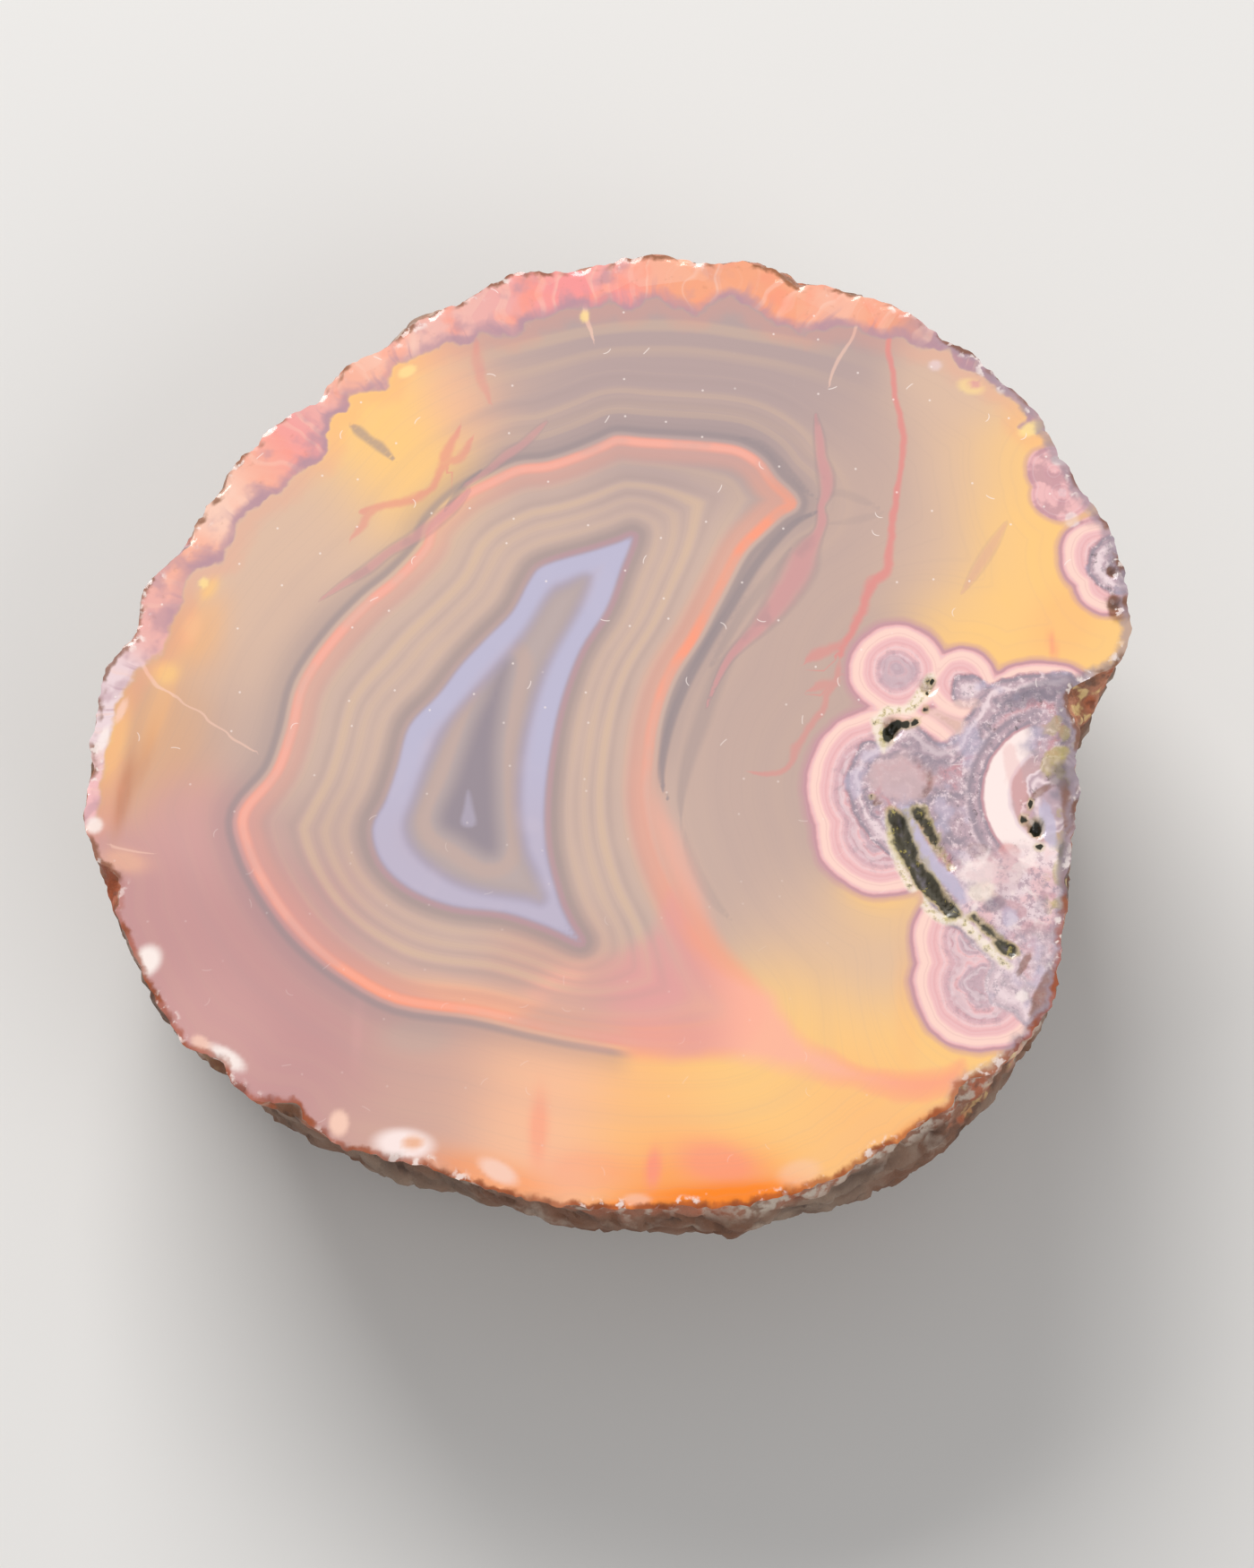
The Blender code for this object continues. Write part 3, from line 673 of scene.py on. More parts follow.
def blend(spots, palette, dabs):
    """The soft colour at each spot, blended from the dabs."""
    total = np.zeros(len(spots))
    ground = np.zeros((len(spots), 3))
    for x, y, reach, name in dabs:
        weight = np.exp(-((spots[:, 0] - x) ** 2 + (spots[:, 1] - y) ** 2) / (2 * (0.8 * reach) ** 2)) + 1e-6
        total += weight
        ground += weight[:, None] * np.array(getattr(palette, name))
    return ground / total[:, None]


def wash(spots, palette):
    """The clear agate's ground colour: the dabs with the smudges over them."""
    ground = blend(spots, palette, DABS)
    for x, y, half_length, half_width, turn, name, strength in SMUDGES:
        reach = oval_reach(spots, x, y, half_length, half_width, turn)
        share = strength * np.clip(1.25 * np.exp(-reach ** 2.6), 0, 1)[:, None]
        ground = ground * (1 - share) + np.array(getattr(palette, name)) * share
    return ground


def nested_phase(gaps):
    """A number that rises by one from each closed line of the nest to the next one out."""
    phase = np.zeros(len(gaps[0]))
    for inner, outer in zip(gaps[:-1], gaps[1:]):
        share = np.clip(inner, 0, None) / (np.clip(inner, 0, None) + np.clip(-outer, 0, None) + 1e-9)
        phase += np.where(inner > 0, share, 0)
    return phase


def face_fields(spots, rim_gap, palette):
    """Every field of the face's pattern, by name."""
    core = gap(DARK_TRIANGLE, spots)
    lavender_in = gap(LAVENDER_INNER, spots)
    lavender_out = gap(LAVENDER_OUTER, spots)
    red = gap(RED_RING, spots)
    crust = gap(CRUST_EDGE + BEYOND_THE_RIM, spots, 3)
    crust_eased = gap(eased(CRUST_EDGE, 5, 4) + list(BEYOND_THE_RIM), spots, 3)
    lobes = lobe_field(spots)
    outer = np.maximum(np.maximum(crust_eased, lobes), -rim_gap)
    red_offset, red_power = strand_fields(RED_VEINS, spots)
    mauve_offset, mauve_power = strand_fields(MAUVE_VEINS, spots)
    grey_offset, grey_power = strand_fields(GREY_STREAKS, spots)
    crack_offset, crack_power = strand_fields(CRACKS, spots)
    return {
        "ring_phase": nested_phase([core, lavender_in, lavender_out, red, outer]),
        "pale_gap": gap(PALE_TRIANGLE, spots),
        "core_gap": core,
        "lavender_in_gap": lavender_in,
        "lavender_gap": lavender_out,
        "red_gap": red,
        "flow_gap": gap(SALMON_FLOW, spots),
        "crust_depth": crust,
        "rim_gap": rim_gap,
        "lobe_depth": lobes,
        "crystal_depth": crystal_field(spots),
        "arc_radius": np.hypot(*((spots - CRESCENT_CENTRE) * CRESCENT_SQUEEZE).T),
        "red_vein": red_offset,
        "red_vein_power": red_power,
        "mauve_vein": np.abs(mauve_offset),
        "mauve_vein_power": mauve_power,
        "grey_streak": np.abs(grey_offset),
        "grey_streak_power": grey_power,
        "crack": crack_offset,
        "crack_power": crack_power,
        "moss_depth": depth_in(MOSS_SEAMS, spots),
        "cream_depth": depth_in(CREAM_STRIPS, spots),
        "channel_depth": depth_in(LAVENDER_CHANNEL, spots),
        "pit": pit_field(spots),
    }


# The stone's mesh

class Solid:
    """The frame's plain stone, to be felt with rays."""

    def __init__(self, node):
        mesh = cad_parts[node].data
        points = [vert.co for vert in mesh.vertices]
        self.tree = BVHTree.FromPolygons(points, [face.vertices for face in mesh.polygons])

    def radius(self, angle, height):
        """Distance from the stone's middle to its flank in this direction, at this height."""
        outward = Vector((math.cos(angle), math.sin(angle), 0))
        start = outward * (HIGH - LOW).length + Vector((0, 0, height))
        hit = self.tree.ray_cast(start, -outward)[0]
        if hit is None:
            raise RuntimeError(f"no flank at {math.degrees(angle):.1f} degrees, height {height:.5f} m")
        return math.hypot(hit.x, hit.y)

    def top(self, x, y):
        """Height of the face, or of the floor of a pit in it."""
        hit = self.tree.ray_cast(Vector((x, y, HIGH.z + 1)), Vector((0, 0, -1)))[0]
        return FACE_HEIGHT if hit is None else hit.z


def ring_heights():
    """Heights of the rings down the flank: close together by the face, then even."""
    lowest = FACE_HEIGHT / MM - LOWEST_RING_ABOVE_BASE
    depths = (*CLOSE_DEPTHS, *np.linspace(EVEN_DEPTHS_FROM, lowest, EVEN_RINGS))
    return [FACE_HEIGHT - depth * MM for depth in depths] + [0.0]


def blurred(rings, reach):
    """Each ring of radii averaged with its neighbours along the ring."""
    return sum(np.roll(rings, step, axis=1) for step in range(-reach, reach + 1)) / (2 * reach + 1)


def knob(spot):
    """Height of the rind's knobs at a spot in mm, from minus one to one."""
    return noise.noise(spot / 1.9 + Vector((5, 5, 5)))


def pit_depth(spot):
    """Depth of the rind's small pits at a spot in mm, one at a pit's bottom and zero outside."""
    return max(0.0, 1 - noise.voronoi(spot / 1.7 + Vector((9, 3, 1)))[0][0] / 0.32)


def rind_relief(place, depth, shape):
    """Push in metres at a point of the flank: knobs, creases and pits, and crumbs by the face."""
    spot = place / MM
    knobs = knob(spot) + 0.5 * noise.noise(spot / 0.8)
    nearest, second = noise.voronoi(spot / 2.6)[0][:2]
    crease = min((second - nearest) / 0.18, 1.0) - 1.0
    rind = 0.7 * knobs + 0.8 * crease - 2.2 * pit_depth(spot)
    crumbs = noise.noise(spot / 0.9 + Vector((2, 7, 4))) + 0.6 * noise.noise(spot / 0.42) - 0.5
    full = min(depth / (1.5 * MM), 1.0)
    return full * shape.rind_relief * rind + (1 - full) * shape.rim_crumble * crumbs


def flank_rings(solid, shape):
    """Places of every point of the flank, ring by ring from the face down."""
    angles = np.linspace(0, 2 * math.pi, shape.rim_points, endpoint=False)
    heights = ring_heights()
    lowest, highest = 0.03 * MM, FACE_HEIGHT - 0.02 * MM
    felt = [min(max(height, lowest), highest) for height in heights]
    radii = blurred(np.array([[solid.radius(angle, height) for angle in angles] for height in felt]), 2)
    rings = []
    for height, row in zip(heights, radii):
        ring = []
        lowered = max(0.0, 1 - (FACE_HEIGHT - height) / (1.3 * MM))
        for angle, radius in zip(angles, row):
            place = Vector((radius * math.cos(angle), radius * math.sin(angle), height))
            flat = place.xy.to_3d() / MM
            chip = noise.noise(flat / 1.5) + 0.5 * noise.noise(flat / 0.6)
            place.z -= lowered * max(0.0, chip) * 2 * shape.rim_crumble
            outward = Vector((math.cos(angle), math.sin(angle), 0))
            place += outward * rind_relief(place, FACE_HEIGHT - height, shape)
            place.x = min(max(place.x, LOW.x), HIGH.x)
            place.y = min(max(place.y, LOW.y), HIGH.y)
            ring.append(place)
        rings.append(ring)
    return rings


def next_ring(bm, ring, places):
    """The ring extruded once, with its new points moved to the given places."""
    edges = [bm.edges.get((a, b)) for a, b in zip(ring, ring[1:] + ring[:1])]
    made = set(bmesh.ops.extrude_edge_only(bm, edges=edges)["geom"])
    lower = [next(e.other_vert(v) for e in v.link_edges if e.other_vert(v) in made) for v in ring]
    for vert, place in zip(lower, places):
        vert.co = place
    return lower


def close_with_grid(bm, ring, step, height):
    """Fills a ring with an even grid of faces, joined to the ring by a strip of triangles."""
    outline = np.array([vert.co.xy for vert in ring])
    loop = np.vstack([outline, outline[:1]])
    cells = int(2 * np.abs(outline).max() / step) + 2
    half = cells * step / 2
    made = bmesh.ops.create_grid(bm, x_segments=cells, y_segments=cells, size=half)["verts"]
    spots = np.array([vert.co.xy for vert in made])
    kept = inside(loop, spots)
    distance = np.zeros(len(spots))
    distance[kept] = edge_distance(loop, spots[kept])
    kept &= distance > 0.7 * step
    bmesh.ops.delete(bm, geom=[vert for vert, keep in zip(made, kept) if not keep], context="VERTS")
    grid = [vert for vert, keep in zip(made, kept) if keep]
    lone = [vert for vert in grid if not vert.link_faces]
    bmesh.ops.delete(bm, geom=lone, context="VERTS")
    grid = [vert for vert in grid if vert.is_valid]
    for vert in grid:
        vert.co.z = height
    border = {edge for vert in grid for edge in vert.link_edges if edge.is_boundary}
    border |= {bm.edges.get((a, b)) for a, b in zip(ring, ring[1:] + ring[:1])}
    before = set(bm.faces)
    bmesh.ops.triangle_fill(bm, use_beauty=True, use_dissolve=False, edges=list(border))
    faces = {face for vert in grid for face in vert.link_faces}
    return grid, faces | (set(bm.faces) - before)


def edge_distance(loop, spots):
    """Distance from each spot to the nearest point of the loop."""
    tree = KDTree(len(loop) - 1)
    for number, (x, y) in enumerate(loop[:-1]):
        tree.insert((x, y, 0), number)
    tree.balance()
    return np.array([tree.find((x, y, 0))[2] for x, y in spots])


def set_field(mesh, name, values):
    """Stores a number for each point of the mesh."""
    field = mesh.attributes.new(name, "FLOAT", "POINT")
    field.data.foreach_set("value", np.ascontiguousarray(values, dtype=np.float32))


def set_colour(mesh, name, values):
    """Stores a colour for each point of the mesh, with or without its fourth channel."""
    field = mesh.attributes.new(name, "FLOAT_COLOR", "POINT")
    full = np.ones((len(values), 4), dtype=np.float32)
    full[:, : values.shape[1]] = values
    field.data.foreach_set("color", full.ravel())


# Shader nodes

class Wire:
    """The output of a node, which can stand in sums and be eased."""

    def __init__(self, recipe, socket):
        self.recipe = recipe
        self.socket = socket

    def __add__(self, other):
        return self.recipe.sum_of("ADD", self, other)

    def __radd__(self, other):
        return self.recipe.sum_of("ADD", other, self)

    def __sub__(self, other):
        return self.recipe.sum_of("SUBTRACT", self, other)

    def __rsub__(self, other):
        return self.recipe.sum_of("SUBTRACT", other, self)

    def __mul__(self, other):
        return self.recipe.sum_of("MULTIPLY", self, other)

    def __rmul__(self, other):
        return self.recipe.sum_of("MULTIPLY", other, self)

    def __truediv__(self, other):
        return self.recipe.sum_of("DIVIDE", self, other)

    def __abs__(self):
        return self.recipe.sum_of("ABSOLUTE", self)

    def above(self, other):
        return self.recipe.sum_of("MAXIMUM", self, other)

    def below(self, other):
        return self.recipe.sum_of("MINIMUM", self, other)

    def rise(self, start, end):
        """Zero at start and one at end, with a soft step between."""
        values = {"Value": self, "From Min": start, "From Max": end}
        return self.recipe.add("ShaderNodeMapRange", {"interpolation_type": "SMOOTHSTEP"}, values)

    def hump(self, start, first, last, end):
        """One between first and last, falling softly to zero at start and end."""
        return self.rise(start, first) * self.rise(end, last)


class Recipe:
    """One material's nodes, all made by add. Its noise is flat, or solid where the surface isn't level."""

    def __init__(self, name, palette, dimensions="2D"):
        self.dimensions = dimensions
        self.material = bpy.data.materials.new(name)
        self.material.use_nodes = True
        self.tree = self.material.node_tree
        self.shader = self.tree.nodes["Principled BSDF"]
        self.palette = palette
        self.place = self.add("ShaderNodeTexCoord", {}, {}, "Object")
        self.east = self.axis("X")
        self.north = self.axis("Y")

    def add(self, kind, settings, inputs, output=0):
        """A new node, with its settings made and its inputs linked or set, as one of its outputs."""
        node = self.tree.nodes.new(kind)
        for name, value in settings.items():
            setattr(node, name, value)
        for name, value in inputs.items():
            if isinstance(value, Wire):
                self.tree.links.new(value.socket, node.inputs[name])
            else:
                node.inputs[name].default_value = value
        return Wire(self, node.outputs[output])

    def sum_of(self, operation, *terms):
        """A sum, product or other function of the terms."""
        return self.add("ShaderNodeMath", {"operation": operation}, dict(enumerate(terms)))

    def tone(self, value):
        """A colour of the palette by its name, a number as a grey, or any other value as it is."""
        if isinstance(value, str):
            return (*getattr(self.palette, value), 1.0)
        return (value, value, value, 1.0) if isinstance(value, float) else value

    def field(self, name, output="Fac"):
        """One of the fields stored on the mesh."""
        return self.add("ShaderNodeAttribute", {"attribute_name": name}, {}, output)

    def ramp(self, amount, stops):
        """A colour or a plain number along soft stops."""
        wire = self.add("ShaderNodeValToRGB", {}, {"Fac": amount}, "Color")
        slope = wire.socket.node.color_ramp
        slope.interpolation = "EASE"
        while len(slope.elements) < len(stops):
            slope.elements.new(1.0)
        for element, (position, value) in zip(slope.elements, stops):
            element.position = position
            element.color = self.tone(value)
        return wire

    def over(self, under, top, share):
        """The colour top laid over under, where share is one."""
        values = {0: share, 6: self.tone(under), 7: self.tone(top)}
        return self.add("ShaderNodeMix", {"data_type": "RGBA"}, values, 2)

    def cloud(self, size_mm, detail=2.0, shift=0.0, rough=0.5):
        """Soft noise from 0 to 1, with lumps about this size."""
        place = self.place
        if shift:
            step = (shift * 0.31, shift * 0.17, shift * 0.23)
            place = self.add("ShaderNodeVectorMath", {"operation": "ADD"}, {0: self.place, 1: step})
        values = {"Vector": place, "Scale": 1 / (size_mm * MM), "Detail": detail, "Roughness": rough}
        return self.add("ShaderNodeTexNoise", {"noise_dimensions": self.dimensions}, values, "Fac")

    def cells(self, size_mm, output):
        """The chance colour or the middle of cells of about this size."""
        values = {"Vector": self.place, "Scale": 1 / (size_mm * MM)}
        return self.add("ShaderNodeTexVoronoi", {"voronoi_dimensions": self.dimensions}, values, output)

    def channel(self, hue, name):
        """One channel of a colour."""
        return self.add("ShaderNodeSeparateColor", {}, {"Color": hue}, name)

    def stripes(self, amount, per_unit, detail=2.0, shift=0.0):
        """Uneven stripes along a field, from 0 to 1."""
        values = {"W": amount * per_unit + shift, "Scale": 1.0, "Detail": detail}
        return self.add("ShaderNodeTexNoise", {"noise_dimensions": "1D"}, values, "Fac")

    def coordinate(self, vector, name):
        """One coordinate of a vector."""
        return self.add("ShaderNodeSeparateXYZ", {}, {"Vector": vector}, name)

    def axis(self, name):
        """One coordinate of the face's drawing, in mm."""
        return (self.coordinate(self.place, name) - DRAWING_ZERO["XY".index(name)]) / MM

    def finish(self, base, roughness, normal=None):
        """Links the shader's inputs and returns the material."""
        self.tree.links.new(base.socket, self.shader.inputs["Base Color"])
        self.tree.links.new(roughness.socket, self.shader.inputs["Roughness"])
        if normal is not None:
            self.tree.links.new(normal.socket, self.shader.inputs["Normal"])
        self.shader.inputs["IOR"].default_value = STONE_IOR
        return self.material

    def bump(self, height, distance_mm, strength):
        """A normal that shows the height as fine relief."""
        values = {"Height": height, "Distance": distance_mm * MM, "Strength": strength}
        return self.add("ShaderNodeBump", {}, values, "Normal")


def banded_colour(r):
    """The nested bands of the clear agate, from the dark core out to the crust."""
    waver = (r.cloud(9.0, 2.0) - 0.5) * 0.5
    phase = r.field("ring_phase")
    red = r.field("red_gap") + waver * 0.35
    lavender = r.field("lavender_gap")
    lavender_in = r.field("lavender_in_gap")
    core = r.field("core_gap")
    base = r.field("wash", "Color")

    # Bands between the lavender ring and the red ring: 0 is grey, a half plain, 1 tan
    share = phase - 2.0 + waver * 0.03
    band = r.ramp(share, (
        (0.00, 0.22), (0.07, 0.12), (0.14, 0.35), (0.21, 0.62), (0.29, 0.42), (0.37, 0.68),
        (0.44, 0.38), (0.53, 0.84), (0.61, 0.32), (0.69, 0.52), (0.76, 0.62), (0.84, 0.32),
        (0.91, 0.45), (1.00, 0.50),
    ))
    band = band + (r.cloud(6.0, 2.0, 95.0) - 0.5) * 0.3
    inner_zone = lavender.rise(0.0, 0.4) * red.rise(0.2, -0.3)
    base = r.over(base, "shade", (0.5 - band).above(0.0) * 1.45 * inner_zone)
    base = r.over(base, "tan", (band - 0.5).above(0.0) * 1.4 * inner_zone)

    # Fainter lines outside the red ring, closest together beside it
    far = (phase - 3.0).above(0.0)
    outer_zone = red.rise(0.8, 1.8) * far.rise(1.0, 0.9)
    wide = r.stripes(far + waver * 0.05, 5.5, 1.0, 3.0)
    upper = r.north.rise(10.0, 19.0) * r.east.rise(-13.0, -4.0) * r.east.rise(19.0, 10.0)
    base = r.over(base, "ash", wide.rise(0.50, 0.30) * (0.06 + 0.50 * upper) * outer_zone)
    base = r.over(base, "tan", wide.rise(0.50, 0.70) * (0.05 + 0.26 * upper) * outer_zone)
    beside = outer_zone * red.rise(7.0, 3.5) * (0.12 + 0.88 * upper)
    narrow = r.stripes(red + far * 2.0, 1.0, 1.0, 11.0)
    base = r.over(base, "tan", narrow.rise(0.52, 0.74) * 0.26 * beside)
    base = r.over(base, "shade", narrow.rise(0.48, 0.26) * 0.22 * beside)
    fine = r.stripes(phase, 55.0, 1.0, 31.0)
    base = r.over(base, "shade", fine.rise(0.48, 0.25) * (0.08 * inner_zone + 0.05 * outer_zone))

    # The red ring with its dark line outside and soft blush inside
    warm = r.east.rise(-2.0, 6.0) * r.north.rise(20.0, 17.0)
    line = r.over("blush_line", "red_line", warm.above(r.north.rise(-14.0, -18.0)))
    base = r.over(base, line, red.hump(-2.0, -0.9, -0.4, 0.1) * 0.32)
    crisp = 1.0 - r.east.rise(0.0, 2.0) * r.north.rise(1.0, -5.5)
    base = r.over(base, "steel", red.hump(0.4, 0.9, 1.1, 3.0) * 0.30 * crisp)
    base = r.over(base, "steel", red.hump(0.45, 0.72, 0.85, 1.3) * 0.55 * crisp)
    spread = 0.2 + 0.4 * r.north.rise(-9.0, -15.0)
    base = r.over(base, line, red.hump(-2.4, -0.4, 0.3, 1.6) * (1.0 - crisp) * spread)
    patchy = 0.55 + 0.45 * r.cloud(4.0, 2.0, 97.0).rise(0.35, 0.60)
    base = r.over(base, line, red.hump(-0.62, -0.16, 0.12, 0.45) * 0.95 * patchy * (0.1 + 0.9 * crisp))
    base = r.over(base, "peach", red.hump(-0.42, -0.15, 0.0, 0.25) * 0.15 * (1.0 - warm))

    # The lavender ring, with a red-brown line and a grey halo outside it
    base = r.over(base, "steel", lavender.hump(-0.7, -0.2, 0.5, 1.6) * 0.38)
    seam = r.east.rise(-7.0, -3.0).above(r.north.rise(-7.0, -11.0))
    base = r.over(base, "crust_line", lavender.hump(-0.3, 0.0, 0.15, 0.45) * (0.15 + 0.5 * seam))
    within = 0.0 - lavender
    inner_ring = within.rise(-0.1, 0.3) * lavender_in.rise(-0.6, 0.7)
    tint = r.over("violet", "lavender", within.rise(0.0, 0.5) * lavender_in.rise(0.0, 0.9))
    tint = r.over(tint, "lobe_pale", r.cloud(3.4, 2.0, 99.0).rise(0.50, 0.72) * 0.1)
    bluish = 0.15 + 0.6 * r.north.rise(-9.0, 0.0)
    tint = r.over(tint, "sky", within.hump(0.0, 0.4, 1.0, 2.2) * bluish)
    heart = r.over("core_haze", "fawn", core.hump(0.5, 1.0, 1.4, 2.2) * 0.6)
    heart = r.over(heart, "steel", lavender_in.rise(-1.0, -0.2) * 0.12)
    heart = r.over(heart, "core", core.rise(1.1, -0.6) * 0.95)
    heart = r.over(heart, "lilac", r.field("pale_gap").rise(0.25, -0.15) * 0.45)
    base = r.over(base, heart, lavender_in.rise(1.0, 0.4))
    return r.over(base, tint, inner_ring)


def flow_over(r, base):
    """The salmon flow at the lower right, and the veins and cracks."""
    flow = r.field("flow_gap") + (r.cloud(5.0, 2.0, 8.0) - 0.5) * 1.6
    hue = r.over("dusk", "dustpink", r.east.rise(-4.0, 3.0))
    hue = r.over(hue, "salmon", r.east.rise(5.0, 9.5))
    hue = r.over(hue, "coral", r.east.rise(13.0, 21.0) * 0.75)
    bands = r.stripes(r.field("ring_phase"), 14.0, 1.0, 5.0)
    dusty = (0.62 + 0.5 * (bands - 0.5)) * r.east.rise(9.0, 3.0) + 0.85 * r.east.rise(3.0, 9.0)
    base = r.over(base, hue, flow.rise(0.6, -1.0) * dusty)
    base = r.over(base, "coral", flow.hump(-0.8, -0.2, 0.0, 0.5) * r.east.rise(10.0, 16.0) * 0.2)
    grey = (1.0 - r.field("grey_streak")).rise(-0.7, 0.6) * r.field("grey_streak_power")
    base = r.over(base, "steel", grey)
    wobble = (r.cloud(1.3, 2.0, 66.0) - 0.5) * 1.6
    mauve = (1.0 - r.field("mauve_vein") - wobble * 0.25).rise(-0.55, 0.65) * r.field("mauve_vein_power")
    base = r.over(base, "vein_mauve", mauve)
    outline = r.field("mauve_vein").hump(0.7, 1.1, 1.2, 1.7) * r.field("mauve_vein_power")
    base = r.over(base, "steel", outline * 0.3)
    base = r.over(base, "steel", mauve * r.cloud(2.6, 2.0, 5.0).rise(0.54, 0.70) * 0.3)
    red = (1.0 - abs(r.field("red_vein") + wobble)).rise(-0.7, 0.7) * r.field("red_vein_power")
    base = r.over(base, "vein_red", red * 0.72)
    crack = (1.0 - abs(r.field("crack") + wobble)).rise(-0.5, 0.5) * r.field("crack_power")
    return r.over(base, "crust_pale", crack * 0.75)


def crust_over(r, base):
    """The pink and orange crust, with its flakes, its fanned stripes and its grey-mauve line."""
    crust = r.field("crust_depth") + (r.cloud(1.3, 2.0, 6.0) - 0.5) * 0.9
    hue = r.field("crust_wash", "Color")
    chips = r.channel(r.cells(3.2, "Color"), "Red")
    hue = r.over(hue, "crust_pale", chips.rise(0.55, 0.95) * 0.25)
    turn = r.sum_of("ARCTAN2", r.north, r.east)
    fan = r.stripes(turn + r.cloud(5.0, 2.0, 83.0) * 0.12, 34.0, 2.0, 9.0)
    hue = r.over(hue, "crust_pale", fan.rise(0.52, 0.72) * (0.32 + 0.2 * r.east.rise(-8.0, 2.0)))
    hue = r.over(hue, "coral", r.cloud(2.9, 3.0, 15.0).rise(0.46, 0.70) * 0.50 * r.east.rise(-30.0, -20.0))
    hue = r.over(hue, "crust_line", r.cloud(2.4, 3.0, 12.0).rise(0.50, 0.72) * r.east.rise(12.0, 0.0) * 0.62)
    hue = r.over(hue, "crust_line", fan.rise(0.46, 0.30) * crust.rise(1.8, 0.2) * 0.5)
    hue = r.over(hue, "clay", r.cloud(0.7, 3.0, 48.0).rise(0.66, 0.78) * 0.15)
    base = r.over(base, "coral", crust.hump(-1.8, -0.5, -0.3, 0.1) * 0.18)
    base = r.over(base, hue, crust.rise(-0.1, 0.25))
    inner = crust.hump(-0.15, 0.1, 0.2, 0.9) * (r.cloud(3.0, 3.0, 52.0) * 1.7 - 0.1)
    return r.over(base, "crust_line", inner.above(0.0).below(0.9) * r.north.rise(6.0, 9.0))


def lobe_hue(r, depth, inner, sugar):
    """The lobes' colour, banded from their pink rim inwards."""
    deep = depth + (r.cloud(1.7, 2.0, 61.0) - 0.5) * 1.7 * depth.rise(1.4, 3.4)
    hue = r.ramp(deep / 6.0, (
        (0.00, "lobe_line"), (0.03, "lobe_line"), (0.055, "lobe_pink"), (0.10, "peach"),
        (0.16, "peach"), (0.20, "lobe_rim"), (0.25, "lobe_pink"), (0.31, "lobe_rim"),
        (0.38, "lobe_blush"), (0.43, "lobe_line"), (0.49, "lobe_pink"), (0.54, "lobe_blush"),
        (0.60, "lobe_grey"), (0.72, "lobe_blush"), (0.85, "lobe_grey"), (1.00, "lobe_line"),
    ))
    plain = r.over("lobe_line", "lobe_pink", r.cloud(1.3, 3.0, 63.0).rise(0.4, 0.6))
    hue = r.over(hue, plain, r.north.rise(14.2, 15.2) * 0.9)
    faint = inner * 0.36
    hue = r.over(hue, "lobe_pale", sugar.rise(0.50, 0.72) * faint)
    hue = r.over(hue, "lobe_dusk", sugar.rise(0.48, 0.34) * faint)
    fine = r.stripes(depth, 3.0, 1.0, 7.0)
    hue = r.over(hue, "lobe_line", fine.rise(0.50, 0.70) * 0.30)
    hue = r.over(hue, "lobe_pale", fine.rise(0.48, 0.30) * 0.30)
    arcs = r.stripes(deep, 1.3, 1.0, 21.0)
    hue = r.over(hue, "lobe_pale", arcs.rise(0.50, 0.70) * inner * 0.55)
    return r.over(hue, "lobe_grey", arcs.rise(0.50, 0.32) * inner * 0.7)


def crystal_hue(r, mass, sugar):
    """The grey crystals' colour, banded along their edge."""
    grey = r.ramp(mass / 5.0, (
        (0.00, "lobe_line"), (0.05, "lobe_dusk"), (0.10, "lobe_grey"), (0.17, "lobe_pale"),
        (0.23, "lobe_grey"), (0.30, "lobe_dusk"), (0.38, "lobe_grey"), (0.48, "lobe_line"),
        (0.60, "lobe_grey"), (0.75, "lobe_dusk"), (1.00, "lobe_grey"),
    ))
    grey = r.over(grey, "lobe_pale", r.north.rise(-13.5, -16.0) * 0.4)
    grey = r.over(grey, "lobe_pale", sugar.rise(0.49, 0.72) * 0.85)
    grey = r.over(grey, "lobe_dusk", sugar.rise(0.46, 0.30) * 0.6)
    return r.over(grey, "lilac", r.cloud(2.4, 2.0, 93.0).rise(0.52, 0.68) * 0.5)


def crescent_hue(r, arc, sugar):
    """The colour of the white and grey crescents, along the radius from their centre."""
    bands = r.ramp(arc / 8.0, (
        (0.00, "lobe_dusk"), (0.12, "lobe_grey"), (0.20, "lobe_pale"), (0.26, "lobe_grey"),
        (0.31, "lobe_pale"), (0.335, "clay_pink"), (0.385, "clay_pink"), (0.42, "lobe_pale"),
        (0.445, "white"), (0.56, "white"), (0.62, "white"), (0.645, "lobe_line"), (0.665, "lobe_dusk"),
        (0.70, "lobe_grey"), (0.76, "lobe_dusk"), (0.80, "lobe_pale"), (0.84, "lobe_dusk"),
        (0.92, "lobe_grey"), (1.00, "lobe_grey"),
    ))
    outer = arc.rise(5.1, 5.5)
    bands = r.over(bands, "lobe_pale", sugar.rise(0.54, 0.68) * 0.7 * outer)
    return r.over(bands, "lobe_dusk", sugar.rise(0.46, 0.34) * 0.7 * outer)


def mixed_hue(r, sugar):
    """The colour of the mixed pale patches below the crescents."""
    mixed = r.over("lobe_pale", "lobe_pink", r.cloud(2.2, 2.0, 28.0).rise(0.45, 0.6) * 0.6)
    mixed = r.over(mixed, "lobe_grey", sugar.rise(0.52, 0.36))
    mixed = r.over(mixed, "white", r.cloud(1.6, 3.0, 29.0).rise(0.52, 0.64) * 0.8)
    mixed = r.over(mixed, "lobe_line", r.cloud(1.9, 3.0, 33.0).rise(0.54, 0.66) * 0.7)
    return r.over(mixed, "lobe_dusk", r.cloud(1.5, 3.0, 35.0).rise(0.56, 0.70) * 0.5)


